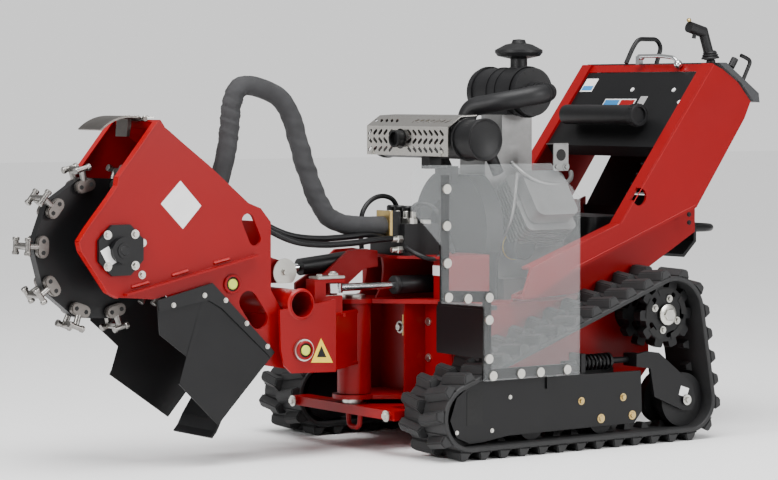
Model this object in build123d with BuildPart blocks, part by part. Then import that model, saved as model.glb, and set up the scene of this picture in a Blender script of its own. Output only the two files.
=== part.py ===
from build123d import *
import os
from math import cos, sin, tan, radians

os.makedirs("parts", exist_ok=True)

# Tracked stump grinder, millimetres.  The origin is on the ground under the
# middle of the machine.  -X points to the cutter, +X to the operator, +Z up.

# ---- running fit between a turning or sliding pair
RUN = 0.05
GAP = 0.5

# ---- tracks
OVERALL_WIDTH = 900
BELT_WIDTH = 190
BELT_THICK = 14
LUG_HEIGHT = 24
LUG_BASE = 42
LUG_COUNT = 36
GUIDE_HEIGHT = 16
GUIDE_WIDTH = 40
GUIDE_COUNT = 36
BELT_Y = (OVERALL_WIDTH - BELT_WIDTH) / 2
TREAD = BELT_THICK + LUG_HEIGHT

SPROCKET_R = 98
SPROCKET_X, SPROCKET_Z = 150, 365
ROLLER_R = 78
ROLLER_X = 214
IDLER_R = 81
IDLER_X = -576
ROAD_R = 44
ROAD_XS = (-340, -90)
ROLLER_Z = ROLLER_R + TREAD
IDLER_Z = IDLER_R + TREAD
ROAD_Z = ROAD_R + TREAD

WHEEL_HALF = 52
GROOVE_HALF = GUIDE_WIDTH / 2 + 5
AXLE_R = 15

# ---- track frame: two plates with the wheels between them
TRACK_PLATE = 8
PLATE_IN = BELT_Y - WHEEL_HALF - 5
PLATE_OUT = BELT_Y + WHEEL_HALF + 5
FRAME_TOP = 214
TOP_PLATE_FRONT = -490
SPRING_Z = 240
SPRING_Y = PLATE_OUT - 32
SPRING_R = 24
SPRING_X0, SPRING_X1 = -150, -50
PUSH_ROD_R = 9
ARM_THICK = 10
ARM_TRAVEL = 12

# ---- chassis
CHASSIS_HALF = 250
CHASSIS_PLATE = 8
CHASSIS_FRONT = -490
CHASSIS_REAR = 120
BELLY_Z = 95
DECK_Z = 400
DECK_PLATE = 8
TOWER_TOP = 535
TOWER_FRONT = -575
MOTOR_R = 45

# ---- swing pivot (vertical) and the post that turns on it
SWING_X = -657
SWING_BARREL_R = 48
SWING_PIN_R = 22
PIVOT_PLATE = 12
UPPER_Z = DECK_Z + DECK_PLATE + 2
LOWER_Z = 140
BARREL_CLEAR = 2
POST_HALF = 160
POST_PLATE = 8
POST_REAR = -827

# ---- lift pivot (across) and the cutter head
LIFT_X, LIFT_Z = -937, 302
LIFT_PIN_R = 20
HEAD_HALF = 128
HEAD_PLATE = 10
TUBE_X, TUBE_Z = -942, 427
TUBE_R, TUBE_BORE_R = 38.5, 35

# ---- cutter wheel
WHEEL_X, WHEEL_Z = -1487, 590
CUTTER_R = 192
CUTTER_THICK = 30
SHAFT_R = 20
TOOTH_COUNT = 10
TOOTH_START = -3
TOOTH_TIP_R = 228
CLAMP_R = 172

# ---- cylinders
LIFT_ROD_X, LIFT_ROD_Z = -928, 508
LIFT_BASE_X, LIFT_BASE_Z = -625, 537
LIFT_BARREL_R = 24
LIFT_ROD_R = 12
SWING_ROD_X = -796
SWING_BASE_X = -335
SWING_CYL_Y = -100
SWING_CYL_Z = 462
SWING_CYL_R = 26
SWING_ROD_R = 11
CYL_PIN_R = 10
OPEN_PIVOT = 9

# ---- console
CONSOLE_HALF = 300
ARM_PLATE = 8
CONSOLE_TOP = 1088
CONSOLE_TOP_X = 416
PANEL_LEAN = 0.755
PANEL_FOOT = 842


def finish(piece, name):
    """Label one finished piece and write its file."""
    piece.part.label = name
    export_step(piece.part, f"parts/{name}.step")


def across(y):
    """Upright lengthwise plane at width y; extrusions go towards -Y."""
    return Plane.XZ.offset(-y)


def slab(points, y_low, y_high):
    """Add an upright lengthwise plate with this XZ outline between two widths."""
    with BuildSketch(across(y_high)) as outline:
        with BuildLine():
            Polyline(*points, close=True)
        make_face()
    extrude(outline.sketch, amount=y_high - y_low)


def mirrored_slab(points, y_in, y_out):
    """Add the same plate on both sides of the machine."""
    slab(points, y_in, y_out)
    slab(points, -y_out, -y_in)


def bar(x, z, radius, y_low, y_high, mode=Mode.ADD):
    """Add or cut a round bar across the machine."""
    with BuildSketch(across(y_high)) as section:
        with Locations((x, z)):
            Circle(radius)
    extrude(section.sketch, amount=y_high - y_low, mode=mode)


def post(x, y, radius, z_low, z_high, mode=Mode.ADD):
    """Add or cut an upright round bar."""
    with BuildSketch(Plane.XY.offset(z_low)) as section:
        with Locations((x, y)):
            Circle(radius)
    extrude(section.sketch, amount=z_high - z_low, mode=mode)


def block(x_low, x_high, y_low, y_high, z_low, z_high, mode=Mode.ADD):
    """Add or cut a box from its limits."""
    with BuildSketch(Plane.XY.offset(z_low)) as section:
        with Locations(((x_low + x_high) / 2, (y_low + y_high) / 2)):
            Rectangle(x_high - x_low, y_high - y_low)
    extrude(section.sketch, amount=z_high - z_low, mode=mode)


def flat_plate(points, z_low, z_high):
    """Add a level plate with this XY outline."""
    with BuildSketch(Plane.XY.offset(z_low)) as outline:
        with BuildLine():
            Polyline(*points, close=True)
        make_face()
    extrude(outline.sketch, amount=z_high - z_low)


def rod_between(start, end, radius, mode=Mode.ADD):
    """Add or cut a round rod between two points."""
    axis = Vector(*end) - Vector(*start)
    with BuildSketch(Plane(origin=start, z_dir=axis)) as section:
        Circle(radius)
    extrude(section.sketch, amount=axis.length, mode=mode)


def bent_tube(points, radius):
    """Add a round tube along runs joined by tangent arcs, and return its path."""
    corners = []
    for before, here, after in zip(points, points[1:], points[2:]):
        first = Vector(*here) - Vector(*before)
        second = Vector(*after) - Vector(*here)
        half_turn = radians(first.get_angle(second)) / 2
        corners.append(0.45 * min(first.length, second.length) / tan(half_turn))
    with BuildLine() as path:
        FilletPolyline(*points, radius=corners)
    with BuildSketch(Plane(origin=points[0], z_dir=Vector(*points[1]) - Vector(*points[0]))) as section:
        Circle(radius)
    run = path.wire()
    sweep(section.sketch, path=run)
    return run.length, min(corners)


# ------------------------------------------------------------------ tracks

def belt_loop(extra):
    """Sketch in XY of the belt path grown outwards by this much."""
    with BuildSketch() as loop:
        for x, z, r in ((SPROCKET_X, SPROCKET_Z, SPROCKET_R),
                        (ROLLER_X, ROLLER_Z, ROLLER_R),
                        (IDLER_X, IDLER_Z, IDLER_R)):
            with Locations((x, z)):
                Circle(r + extra)
        make_hull()
    return loop.sketch


def loop_places(extra, count, phase):
    """Even places along the belt path, turned so that +Y points outwards."""
    rim = belt_loop(extra).face().outer_wire()
    middle = Vector((SPROCKET_X + IDLER_X) / 2, (SPROCKET_Z + IDLER_Z) / 2)
    places = []
    for index in range(count):
        spot = (index + phase) / count
        point = rim.position_at(spot)
        run = rim.tangent_at(spot)
        out = Vector(-run.Y, run.X)
        if out.dot(point - middle) < 0:
            out = -out
        angle = Vector(0, 1).get_signed_angle(out, Vector(0, 0, 1))
        places.append(Location((point.X, point.Y, 0), (0, 0, angle)))
    return places


def make_belt(side, name):
    """Rubber belt: carcass, two staggered rows of lugs and inner guide lugs."""
    centre = side * BELT_Y
    low, high = centre - BELT_WIDTH / 2, centre + BELT_WIDTH / 2
    with BuildPart() as belt:
        with BuildSketch(across(high)):
            add(belt_loop(BELT_THICK))
            add(belt_loop(0), mode=Mode.SUBTRACT)
        extrude(amount=BELT_WIDTH)
        with BuildSketch(across(centre - 4)):
            with Locations(*loop_places(BELT_THICK - 1, LUG_COUNT, 0)):
                Trapezoid(LUG_BASE, LUG_HEIGHT + 1, 67, align=(Align.CENTER, Align.MIN))
        extrude(amount=BELT_WIDTH / 2 - 4)
        with BuildSketch(across(high)):
            with Locations(*loop_places(BELT_THICK - 1, LUG_COUNT, 0.5)):
                Trapezoid(LUG_BASE, LUG_HEIGHT + 1, 67, align=(Align.CENTER, Align.MIN))
        extrude(amount=BELT_WIDTH / 2 - 4)
        with BuildSketch(across(centre + GUIDE_WIDTH / 2)):
            with Locations(*loop_places(1, GUIDE_COUNT, 0)):
                Trapezoid(26, GUIDE_HEIGHT + 1, 70, align=(Align.CENTER, Align.MIN), rotation=180)
        extrude(amount=GUIDE_WIDTH)
        block(IDLER_X - 200, ROLLER_X + 200, low - 5, high + 5, -20, 0, mode=Mode.SUBTRACT)
    finish(belt, name)


def grooved_wheel(x, z, radius, side):
    """Wheel with two rims that straddle the belt's guide lugs."""
    centre = side * BELT_Y
    with BuildPart() as wheel:
        bar(x, z, radius - GAP, centre - WHEEL_HALF, centre + WHEEL_HALF)
        with BuildSketch(across(centre + GROOVE_HALF)):
            with Locations((x, z)):
                Circle(radius + 1)
                Circle(radius - GUIDE_HEIGHT - 6, mode=Mode.SUBTRACT)
        extrude(amount=2 * GROOVE_HALF, mode=Mode.SUBTRACT)
        bar(x, z, AXLE_R + RUN, centre - WHEEL_HALF, centre + WHEEL_HALF, Mode.SUBTRACT)
    return wheel


def make_sprocket(side, name):
    """Drive sprocket: two toothed discs, windows in the outer disc, and its shaft."""
    centre = side * BELT_Y
    disc = WHEEL_HALF - GROOVE_HALF
    outer_y = side * (BELT_Y + WHEEL_HALF)
    with BuildPart() as wheel:
        for y_high in (centre + WHEEL_HALF, centre - GROOVE_HALF):
            with BuildSketch(across(y_high)):
                with Locations((SPROCKET_X, SPROCKET_Z)):
                    Circle(SPROCKET_R - 20)
                    with PolarLocations(SPROCKET_R - 21, 10):
                        RectangleRounded(40, 30, 7)
                    with PolarLocations(SPROCKET_R - 38, 5):
                        SlotOverall(34, 15, rotation=90, mode=Mode.SUBTRACT)
            extrude(amount=disc)
        bar(SPROCKET_X, SPROCKET_Z, 48, centre - WHEEL_HALF, centre + WHEEL_HALF)
        inner = side * (CHASSIS_HALF + 8)
        bar(SPROCKET_X, SPROCKET_Z, SHAFT_R, min(inner, outer_y), max(inner, outer_y))
        hub_low, hub_high = sorted((outer_y, outer_y + side * 8))
        bar(SPROCKET_X, SPROCKET_Z, 24, hub_low, hub_high)
    finish(wheel, name)


FRAME_OUTLINE = [(-520, FRAME_TOP), (46, FRAME_TOP - 4), (50, 94), (22, 62), (-430, 58),
                 (-520, 46), (-562, 44), (-608, 64), (-630, 112), (-608, 172), (-570, 198)]

with BuildPart() as track_frames:
    for side in (-1, 1):
        near, far = sorted((side * PLATE_OUT, side * (PLATE_OUT + TRACK_PLATE)))
        slab(FRAME_OUTLINE, near, far)
        near, far = sorted((side * PLATE_IN, side * (PLATE_IN - TRACK_PLATE)))
        slab(FRAME_OUTLINE, near, far)
        near, far = sorted((side * (PLATE_IN - TRACK_PLATE), side * (PLATE_OUT + TRACK_PLATE)))
        block(TOP_PLATE_FRONT, SPRING_X0 - 15, near, far, FRAME_TOP - 8, FRAME_TOP)
        for x in ROAD_XS:
            bar(x, ROAD_Z, AXLE_R, near, far)
        bar(IDLER_X, IDLER_Z, AXLE_R, near, far)
        guide = side * SPRING_Y
        block(SPRING_X0 - 15, SPRING_X0, guide - 30, guide + 25, FRAME_TOP - 8, SPRING_Z + 28)
        foot_low, foot_high = sorted((side * (PLATE_IN - TRACK_PLATE), guide))
        block(SPRING_X0 - 15, SPRING_X0, foot_low, foot_high, FRAME_TOP - 8, FRAME_TOP)
        with BuildSketch(Plane.YZ.offset(SPRING_X0 - 20)):
            with Locations((guide, SPRING_Z)):
                Circle(PUSH_ROD_R + RUN)
        extrude(amount=30, mode=Mode.SUBTRACT)
        beam_low, beam_high = sorted((side * CHASSIS_HALF, side * (PLATE_IN - TRACK_PLATE)))
        for x in (-440, -20):
            block(x - 35, x + 35, beam_low, beam_high, 110, 180)
finish(track_frames, "track_frames")

for side, word in ((-1, "left"), (1, "right")):
    make_belt(side, f"track_belt_{word}")
    make_sprocket(side, f"sprocket_{word}")
    finish(grooved_wheel(IDLER_X, IDLER_Z, IDLER_R, side), f"front_idler_{word}")
    finish(grooved_wheel(ROLLER_X, ROLLER_Z, ROLLER_R, side), f"rear_roller_{word}")

for side, word in ((-1, "left"), (1, "right")):
    for number, x in enumerate(ROAD_XS, start=1):
        finish(grooved_wheel(x, ROAD_Z, ROAD_R, side), f"road_wheel_{word}_{number}")

# tension arm: outer plate that carries the rear roller and is pushed by a spring
ARM_OUTLINE = [(28, SPRING_Z - 18), (28, SPRING_Z + 18), (70, SPRING_Z + 24), (112, SPRING_Z + 18),
               (240, 160), (252, 112), (236, 84), (204, 86), (96, 132), (80, SPRING_Z - 26)]
for side, word in ((-1, "left"), (1, "right")):
    plate_low, plate_high = sorted((side * PLATE_OUT, side * (PLATE_OUT + ARM_THICK)))
    with BuildPart() as arm:
        slab(ARM_OUTLINE, plate_low, plate_high)
        axle_low, axle_high = sorted((side * (PLATE_IN + 2), side * (PLATE_OUT + ARM_THICK + 6)))
        bar(ROLLER_X, ROLLER_Z, AXLE_R, axle_low, axle_high)
        boss_low, boss_high = sorted((side * (SPRING_Y - 16), side * (PLATE_OUT + ARM_THICK)))
        block(28, 56, boss_low, boss_high, SPRING_Z - 18, SPRING_Z + 18)
        rod_between((SPRING_X0 - 60, side * SPRING_Y, SPRING_Z), (40, side * SPRING_Y, SPRING_Z), PUSH_ROD_R)
        rod_between((SPRING_X1, side * SPRING_Y, SPRING_Z), (SPRING_X1 + 8, side * SPRING_Y, SPRING_Z), SPRING_R)
    finish(arm, f"tension_arm_{word}")

with BuildPart() as tension_springs:
    for side in (-1, 1):
        with BuildSketch(Plane.YZ.offset(SPRING_X0)):
            with Locations((side * SPRING_Y, SPRING_Z)):
                Circle(SPRING_R)
                Circle(SPRING_R - 8, mode=Mode.SUBTRACT)
        extrude(amount=SPRING_X1 - SPRING_X0)
finish(tension_springs, "tension_springs")

with BuildPart() as drive_motors:
    for side in (-1, 1):
        low, high = sorted((side * CHASSIS_HALF, side * (PLATE_IN - 4)))
        bar(SPROCKET_X, SPROCKET_Z, 60, low, high)
        low, high = sorted((side * (CHASSIS_HALF - 110), side * CHASSIS_HALF))
        bar(SPROCKET_X, SPROCKET_Z, MOTOR_R, low, high)
        low, high = sorted((side * (CHASSIS_HALF + 6), side * (PLATE_IN - 2)))
        bar(SPROCKET_X, SPROCKET_Z, SHAFT_R + RUN, low, high, Mode.SUBTRACT)
finish(drive_motors, "drive_motors")

# ------------------------------------------------------------------ chassis

IN = CHASSIS_HALF - CHASSIS_PLATE
UPPER_TOP = UPPER_Z + PIVOT_PLATE
LOWER_TOP = LOWER_Z + PIVOT_PLATE


def pivot_plate(z, half_root):
    """Add a level plate that narrows forward to a round nose on the swing pivot."""
    with BuildSketch(Plane.XY.offset(z)) as plate:
        with BuildLine():
            Polyline((CHASSIS_FRONT + 10, -half_root), (CHASSIS_FRONT, -half_root),
                     (SWING_X + 20, -62), (SWING_X + 20, 62),
                     (CHASSIS_FRONT, half_root), (CHASSIS_FRONT + 10, half_root), close=True)
        make_face()
        with Locations((SWING_X, 0)):
            Circle(62)
    extrude(plate.sketch, amount=PIVOT_PLATE)
    post(SWING_X, 0, SWING_PIN_R, z - 1, z + PIVOT_PLATE + 1, Mode.SUBTRACT)


with BuildPart() as main_frame:
    chassis_side = [(CHASSIS_FRONT, BELLY_Z), (CHASSIS_REAR, BELLY_Z), (CHASSIS_REAR + 100, 200),
                    (CHASSIS_REAR + 100, 440), (CHASSIS_REAR, 440), (CHASSIS_REAR, DECK_Z),
                    (CHASSIS_FRONT, DECK_Z)]
    mirrored_slab(chassis_side, IN, CHASSIS_HALF)
    block(CHASSIS_FRONT, CHASSIS_REAR, -CHASSIS_HALF, CHASSIS_HALF, BELLY_Z, BELLY_Z + 8)
    block(CHASSIS_FRONT, CHASSIS_REAR, -CHASSIS_HALF, CHASSIS_HALF, DECK_Z, DECK_Z + DECK_PLATE)
    block(CHASSIS_REAR, CHASSIS_REAR + 100, -CHASSIS_HALF, CHASSIS_HALF, 432, 440)
    with BuildSketch(Plane.YZ.offset(CHASSIS_FRONT)):
        with BuildLine():
            Polyline((-240, UPPER_Z), (-240, 228), (-202, 219), (-164, 151), (-164, BELLY_Z),
                     (164, BELLY_Z), (164, 151), (202, 219), (240, 228), (240, UPPER_Z), close=True)
        make_face()
    extrude(amount=CHASSIS_PLATE)
    pivot_plate(UPPER_Z, 200)
    pivot_plate(LOWER_Z, 164)
    mirrored_slab([(CHASSIS_FRONT, LOWER_Z), (-560, LOWER_Z + 6), (-560, UPPER_Z), (CHASSIS_FRONT, UPPER_Z)],
                  104, 112)
    # tower over the swing cylinder
    with BuildSketch(Plane.XY.offset(TOWER_TOP)):
        with BuildLine():
            Polyline((TOWER_FRONT, -95), (CHASSIS_FRONT, -200), (-330, -200), (-330, 200),
                     (CHASSIS_FRONT, 200), (TOWER_FRONT, 95), close=True)
        make_face()
    extrude(amount=8)
    for rib_y in (-22, 62):
        with BuildSketch(across(rib_y + 8)):
            with BuildLine():
                ThreePointArc((TOWER_FRONT, TOWER_TOP + 1), (-572, 480), (-605, UPPER_Z + 1))
                Polyline((-605, UPPER_Z + 1), (-340, UPPER_Z + 1), (-340, TOWER_TOP + 1), (TOWER_FRONT, TOWER_TOP + 1))
            make_face()
        extrude(amount=8)
    for side in (-1, 1):
        near, far = sorted((side * 192, side * 200))
        block(CHASSIS_FRONT, -330, near, far, DECK_Z, TOWER_TOP + 1)
        near, far = sorted((side * 152, side * 200))
        block(CHASSIS_FRONT, CHASSIS_FRONT + 8, near, far, UPPER_Z, TOWER_TOP + 1)
    block(-355, -310, SWING_CYL_Y - 30, SWING_CYL_Y + 30, DECK_Z, SWING_CYL_Z - 18)
    block(-345, -330, -200, 200, DECK_Z, TOWER_TOP + 1)
    block(-350, -325, SWING_CYL_Y - 50, SWING_CYL_Y + 50, SWING_CYL_Z - 18, SWING_CYL_Z + 45, Mode.SUBTRACT)
    post(SWING_BASE_X, SWING_CYL_Y, CYL_PIN_R, DECK_Z, SWING_CYL_Z + 16)
    for side in (-1, 1):
        bar(SPROCKET_X, SPROCKET_Z, MOTOR_R + RUN, side * CHASSIS_HALF - 12, side * CHASSIS_HALF + 12, Mode.SUBTRACT)
finish(main_frame, "main_frame")

with BuildPart() as swing_pin:
    post(SWING_X, 0, SWING_PIN_R, LOWER_Z - 14, UPPER_TOP + 2)
    post(SWING_X, 0, 34, LOWER_Z - 14, LOWER_Z)
    post(SWING_X, 0, 32, UPPER_TOP, UPPER_TOP + 10)
finish(swing_pin, "swing_pin")

BEAM_HALF = OVERALL_WIDTH / 2 - BELT_WIDTH - 3
with BuildPart() as lower_beam:
    block(-700, -640, -BEAM_HALF, BEAM_HALF, 100, 126)
    block(-640, CHASSIS_FRONT, -150, 150, 108, 126)
    for y in (22 - BEAM_HALF, BEAM_HALF - 22):
        rod_between((-712, y, 113), (-700, y, 113), 12)
    post(SWING_X, 0, 40, 99, 127, Mode.SUBTRACT)
    # tie-down loop under the beam
    with BuildLine() as loop_path:
        FilletPolyline((-680, -64, 104), (-680, -60, 62), (-680, -8, 62), (-680, -4, 104), radius=18)
    with BuildSketch(Plane(origin=(-680, -64, 104), z_dir=(0, 4, -42))):
        Circle(7)
    sweep(path=loop_path.line)
finish(lower_beam, "lower_beam")

# ------------------------------------------------------------------ console

OUTER_ARM = [(416, 1088), (460, 1070), (520, 1032), (572, 975), (548, 925), (360, 664), (-110, 490),
             (-240, 425), (-290, 420), (-258, 508), (-86, 573), (65, 623)]
INNER_ARM = [(391, 680), (391, 590), (209, 490), (205, 442), (-290, 412), (-290, 430), (-75, 500)]
ARM_EDGE = [(416, 1088), (65, 623), (-258, 508)]

with BuildPart() as side_arms:
    for side in (-1, 1):
        near, far = sorted((side * (CONSOLE_HALF - ARM_PLATE), side * CONSOLE_HALF))
        slab(OUTER_ARM, near, far)
        near, far = sorted((side * CHASSIS_HALF, side * (CHASSIS_HALF + ARM_PLATE)))
        slab(INNER_ARM, near, far)
        near, far = sorted((side * CHASSIS_HALF, side * CONSOLE_HALF))
        slab([(-290, 420), (-240, 425), (-110, 490), (360, 664), (357, 672), (-113, 498), (-243, 433), (-290, 428)],
             near, far)
        near, far = sorted((side * (CONSOLE_HALF - 45), side * CONSOLE_HALF))
        slab([(416, 1088), (65, 623), (-258, 508), (-255, 501), (70, 616), (426, 1086)], near, far)
    for side in (-1, 1):
        bar(140, 700, 26, side * CONSOLE_HALF - 20, side * CONSOLE_HALF + 20, Mode.SUBTRACT)
finish(side_arms, "side_arms")


def lean_x(z):
    """Where the leaning console panel is at this height."""
    return CONSOLE_TOP_X - PANEL_LEAN * (CONSOLE_TOP - z)


INSIDE = CONSOLE_HALF - 45
with BuildPart() as console_panel:
    slab([(lean_x(PANEL_FOOT) + 10, PANEL_FOOT), (lean_x(1062) + 10, 1062), (lean_x(1062) + 16, 1062),
          (lean_x(PANEL_FOOT) + 16, PANEL_FOOT), (lean_x(PANEL_FOOT) + 36, 816), (lean_x(PANEL_FOOT) + 30, 812)],
         -INSIDE, INSIDE)
finish(console_panel, "console_panel")

with BuildPart() as console_hood:
    slab([(lean_x(1064) + 10, 1064), (lean_x(1086) + 10, 1086), (439, 1086), (439, 1078),
          (lean_x(1086) + 20, 1078), (lean_x(1064) + 18, 1064)], -INSIDE, INSIDE)
finish(console_hood, "console_hood")

DECK_LINE = [(440, 1090), (470, 1090), (600, 1000), (604, 972), (580, 975), (525, 1034), (463, 1074)]

with BuildPart() as rear_guard:
    slab([(380, 655), (392, 655), (560, 905), (552, 918)], -235, 235)
    for step in range(7):
        with BuildSketch(Plane(origin=(410 + 20 * step, 0, 692 + 30 * step), z_dir=(-0.83, 0, 0.56))):
            Rectangle(10, 150)
        extrude(amount=40, both=True, mode=Mode.SUBTRACT)
    slab([(380, 655), (392, 655), (404, 588), (404, 560), (357, 515), (272, 522), (272, 530),
          (352, 524), (394, 563), (394, 588)], -CHASSIS_HALF, CHASSIS_HALF)
    bent_tube([(400, -200, 596), (500, -200, 596), (540, -160, 596), (540, 160, 596), (500, 200, 596),
               (400, 200, 596)], 11)
finish(rear_guard, "rear_guard")

TUBE_AXIS_X, TUBE_AXIS_Z = 258, 935
TUBE_OUT_R = 30
with BuildPart() as document_tube:
    bar(TUBE_AXIS_X, TUBE_AXIS_Z, TUBE_OUT_R, -150, 182)
    bar(TUBE_AXIS_X, TUBE_AXIS_Z, TUBE_OUT_R + 3, -160, -132)
    with BuildSketch(across(-152)) as recess:
        with Locations((TUBE_AXIS_X, TUBE_AXIS_Z)):
            Circle(TUBE_OUT_R - 6)
    extrude(recess.sketch, amount=9, mode=Mode.SUBTRACT)
finish(document_tube, "document_tube")

with BuildPart() as hand_rail:
    bent_tube([(425, 100, 1091), (452, 100, 1140), (474, 100, 1166), (548, 100, 1166), (566, 100, 1142),
               (545, 100, 1084), (538, 100, 1052)], 7)
finish(hand_rail, "hand_rail")

STICK_X, STICK_Y = 480, -225
STICK_BASE = 1096
STICK_BALL_R = 14
STICK_PIVOT_Z = 1092
TRIGGER_R = 6
with BuildPart() as control_deck:
    slab(DECK_LINE, -CONSOLE_HALF - 5, CONSOLE_HALF + 5)
    with Locations((STICK_X, STICK_Y, STICK_PIVOT_Z)):
        Sphere(STICK_BALL_R + RUN, mode=Mode.SUBTRACT)
finish(control_deck, "control_deck")

with BuildPart() as joystick:
    with Locations((STICK_X, STICK_Y, STICK_PIVOT_Z)):
        Sphere(STICK_BALL_R)
    rod_between((STICK_X, STICK_Y, STICK_PIVOT_Z + 9), (STICK_X - 2, STICK_Y, STICK_BASE + 16), 20)
    rod_between((STICK_X - 4, STICK_Y, STICK_BASE + 10), (STICK_X - 32, STICK_Y, STICK_BASE + 88), 15)
    rod_between((STICK_X - 28, STICK_Y, STICK_BASE + 84), (STICK_X - 88, STICK_Y, STICK_BASE + 100), 17)
    rod_between((STICK_X - 68, STICK_Y, STICK_BASE + 66), (STICK_X - 64.4, STICK_Y, STICK_BASE + 84),
                TRIGGER_R + RUN, Mode.SUBTRACT)
finish(joystick, "joystick")

with BuildPart() as joystick_trigger:
    rod_between((STICK_X - 68, STICK_Y, STICK_BASE + 66), (STICK_X - 65.5, STICK_Y, STICK_BASE + 78.5), TRIGGER_R)
finish(joystick_trigger, "joystick_trigger")

KNOB_X, KNOB_Y = 515, -262
with BuildPart() as choke_knob:
    rod_between((KNOB_X, KNOB_Y, 1060), (KNOB_X + 12, KNOB_Y, 1078), 4)
    rod_between((KNOB_X + 12, KNOB_Y, 1078), (KNOB_X + 28, KNOB_Y, 1102), 11)
finish(choke_knob, "choke_knob")

LEVER_X, LEVER_Y = 556, -280
with BuildPart() as drive_lever:
    bent_tube([(LEVER_X, LEVER_Y, 1033), (LEVER_X + 20, LEVER_Y, 1070), (LEVER_X + 34, LEVER_Y, 1096),
               (LEVER_X + 12, LEVER_Y, 1106), (LEVER_X - 6, LEVER_Y, 1112)], 6)
finish(drive_lever, "drive_lever")

THROTTLE_X, THROTTLE_Y = 408, -150
with BuildPart() as throttle_lever:
    bent_tube([(THROTTLE_X, 20, 1112), (THROTTLE_X, -80, 1112), (THROTTLE_X, -140, 1106),
               (THROTTLE_X, -158, 1092)], 6)
    with Locations((THROTTLE_X, -160, 1086)):
        Sphere(13)
    rod_between((THROTTLE_X, 0, 1106), (THROTTLE_X, 22, 1112), 6)
    block(THROTTLE_X - 8, THROTTLE_X + 8, 10, 26, 1086.5, 1112)
finish(throttle_lever, "throttle_lever")

# ------------------------------------------------------------------ side shield

SHIELD_IN = OVERALL_WIDTH / 2 + 10
SHIELD_THICK = 6
SHIELD_LINE = [(-772, 807), (-790, 790), (-790, 690), (-690, 590), (-690, 436), (-547, 422), (-547, 218),
               (-216, 218), (-216, 712), (-320, 807)]
SHIELD_BOLTS = [(-678, 743), (-678, 644), (-676, 544), (-672, 452), (-607, 446), (-535, 446), (-535, 385),
                (-535, 279), (-521, 232), (-425, 233), (-357, 233), (-263, 235)]
with BuildPart() as shield:
    slab(SHIELD_LINE, -SHIELD_IN - SHIELD_THICK, -SHIELD_IN)
    for x, z in SHIELD_BOLTS:
        bar(x, z, 5 + RUN, -SHIELD_IN - SHIELD_THICK, -SHIELD_IN, Mode.SUBTRACT)
finish(shield, "shield")

with BuildPart() as shield_fasteners:
    for x, z in SHIELD_BOLTS:
        bar(x, z, 5, -SHIELD_IN - SHIELD_THICK - 2, -SHIELD_IN)
        bar(x, z, 13, -SHIELD_IN - SHIELD_THICK - 5, -SHIELD_IN - SHIELD_THICK)
finish(shield_fasteners, "shield_fasteners")

with BuildPart() as front_bracket:
    slab([(-692, 780), (-664, 780), (-664, 470), (-521, 462), (-521, 250), (-250, 250), (-250, 222),
          (-549, 222), (-549, 434), (-692, 440)], -SHIELD_IN, -SHIELD_IN + 5)
    block(-545, -539, -SHIELD_IN + 2, -242, 280, 412)
    block(-545, -490, -248, -240, 284, 405)
    block(-543, -500, -SHIELD_IN + 2, -244, UPPER_Z, UPPER_TOP)
    block(-300, -270, -SHIELD_IN + 2, -PLATE_OUT - TRACK_PLATE - 3, 222, 230)
    block(-300, -270, -PLATE_OUT - TRACK_PLATE - 6, -PLATE_OUT - TRACK_PLATE, 180, 229)
finish(front_bracket, "front_bracket")

# ------------------------------------------------------------------ engine

ENGINE_FOOT = DECK_Z + DECK_PLATE
BLOCK_X0, BLOCK_X1 = -260, 10
BLOCK_TOP = 690
MUFFLER_X, MUFFLER_Z = -388, 869
MUFFLER_R = 56
CLEANER_X, CLEANER_Z = -105, 1003
CLEANER_R = 70
CLEANER_HALF = 115

with BuildPart() as engine:
    block(BLOCK_X0, BLOCK_X1, -110, 110, ENGINE_FOOT, BLOCK_TOP)
    block(BLOCK_X0 + 20, BLOCK_X1 - 20, -150, 150, ENGINE_FOOT, ENGINE_FOOT + 60)
    for side in (-1, 1):
        bore = Plane(origin=(-130, 0, 560), z_dir=(0, side * 0.82, 0.57))
        with BuildSketch(bore):
            RectangleRounded(130, 130, 25)
        extrude(amount=150)
        for fin in range(8):
            with BuildSketch(bore.offset(128 + 13 * fin)):
                RectangleRounded(190, 180, 20)
            extrude(amount=5)
        with BuildSketch(bore.offset(228)):
            RectangleRounded(150, 150, 24)
        extrude(amount=46)
        with BuildSketch(bore.offset(120)):
            RectangleRounded(120, 120, 24)
        extrude(amount=110)
    block(-240, -120, -60, 60, BLOCK_TOP - 10, 850)
    block(-170, -60, -50, 50, BLOCK_TOP - 10, CLEANER_Z - CLEANER_R + 4)
    bar(CLEANER_X, CLEANER_Z, CLEANER_R, -CLEANER_HALF, CLEANER_HALF, Mode.SUBTRACT)
finish(engine, "engine")

with BuildPart() as blower_housing:
    with BuildSketch(Plane.YZ.offset(BLOCK_X0 - 60)):
        with Locations((0, 610)):
            Circle(175)
            Rectangle(300, 260, align=(Align.CENTER, Align.MAX))
        with Locations((0, 610 + 175)):
            Rectangle(230, 40, mode=Mode.SUBTRACT)
    extrude(amount=60)
    with BuildSketch(Plane.YZ.offset(BLOCK_X0 - 61)):
        with Locations((0, 600)):
            Circle(105)
    extrude(amount=22, mode=Mode.SUBTRACT)
    block(BLOCK_X0 - 62, BLOCK_X0, -200, 200, 300, ENGINE_FOOT + 2, Mode.SUBTRACT)
    block(BLOCK_X0 - 85, BLOCK_X0 - 60, -40, 40, 740, 790)
    block(BLOCK_X0 - 62, BLOCK_X0 - 8, -201, 201, ENGINE_FOOT, TOWER_TOP + 10, Mode.SUBTRACT)
finish(blower_housing, "blower_housing")

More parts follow.
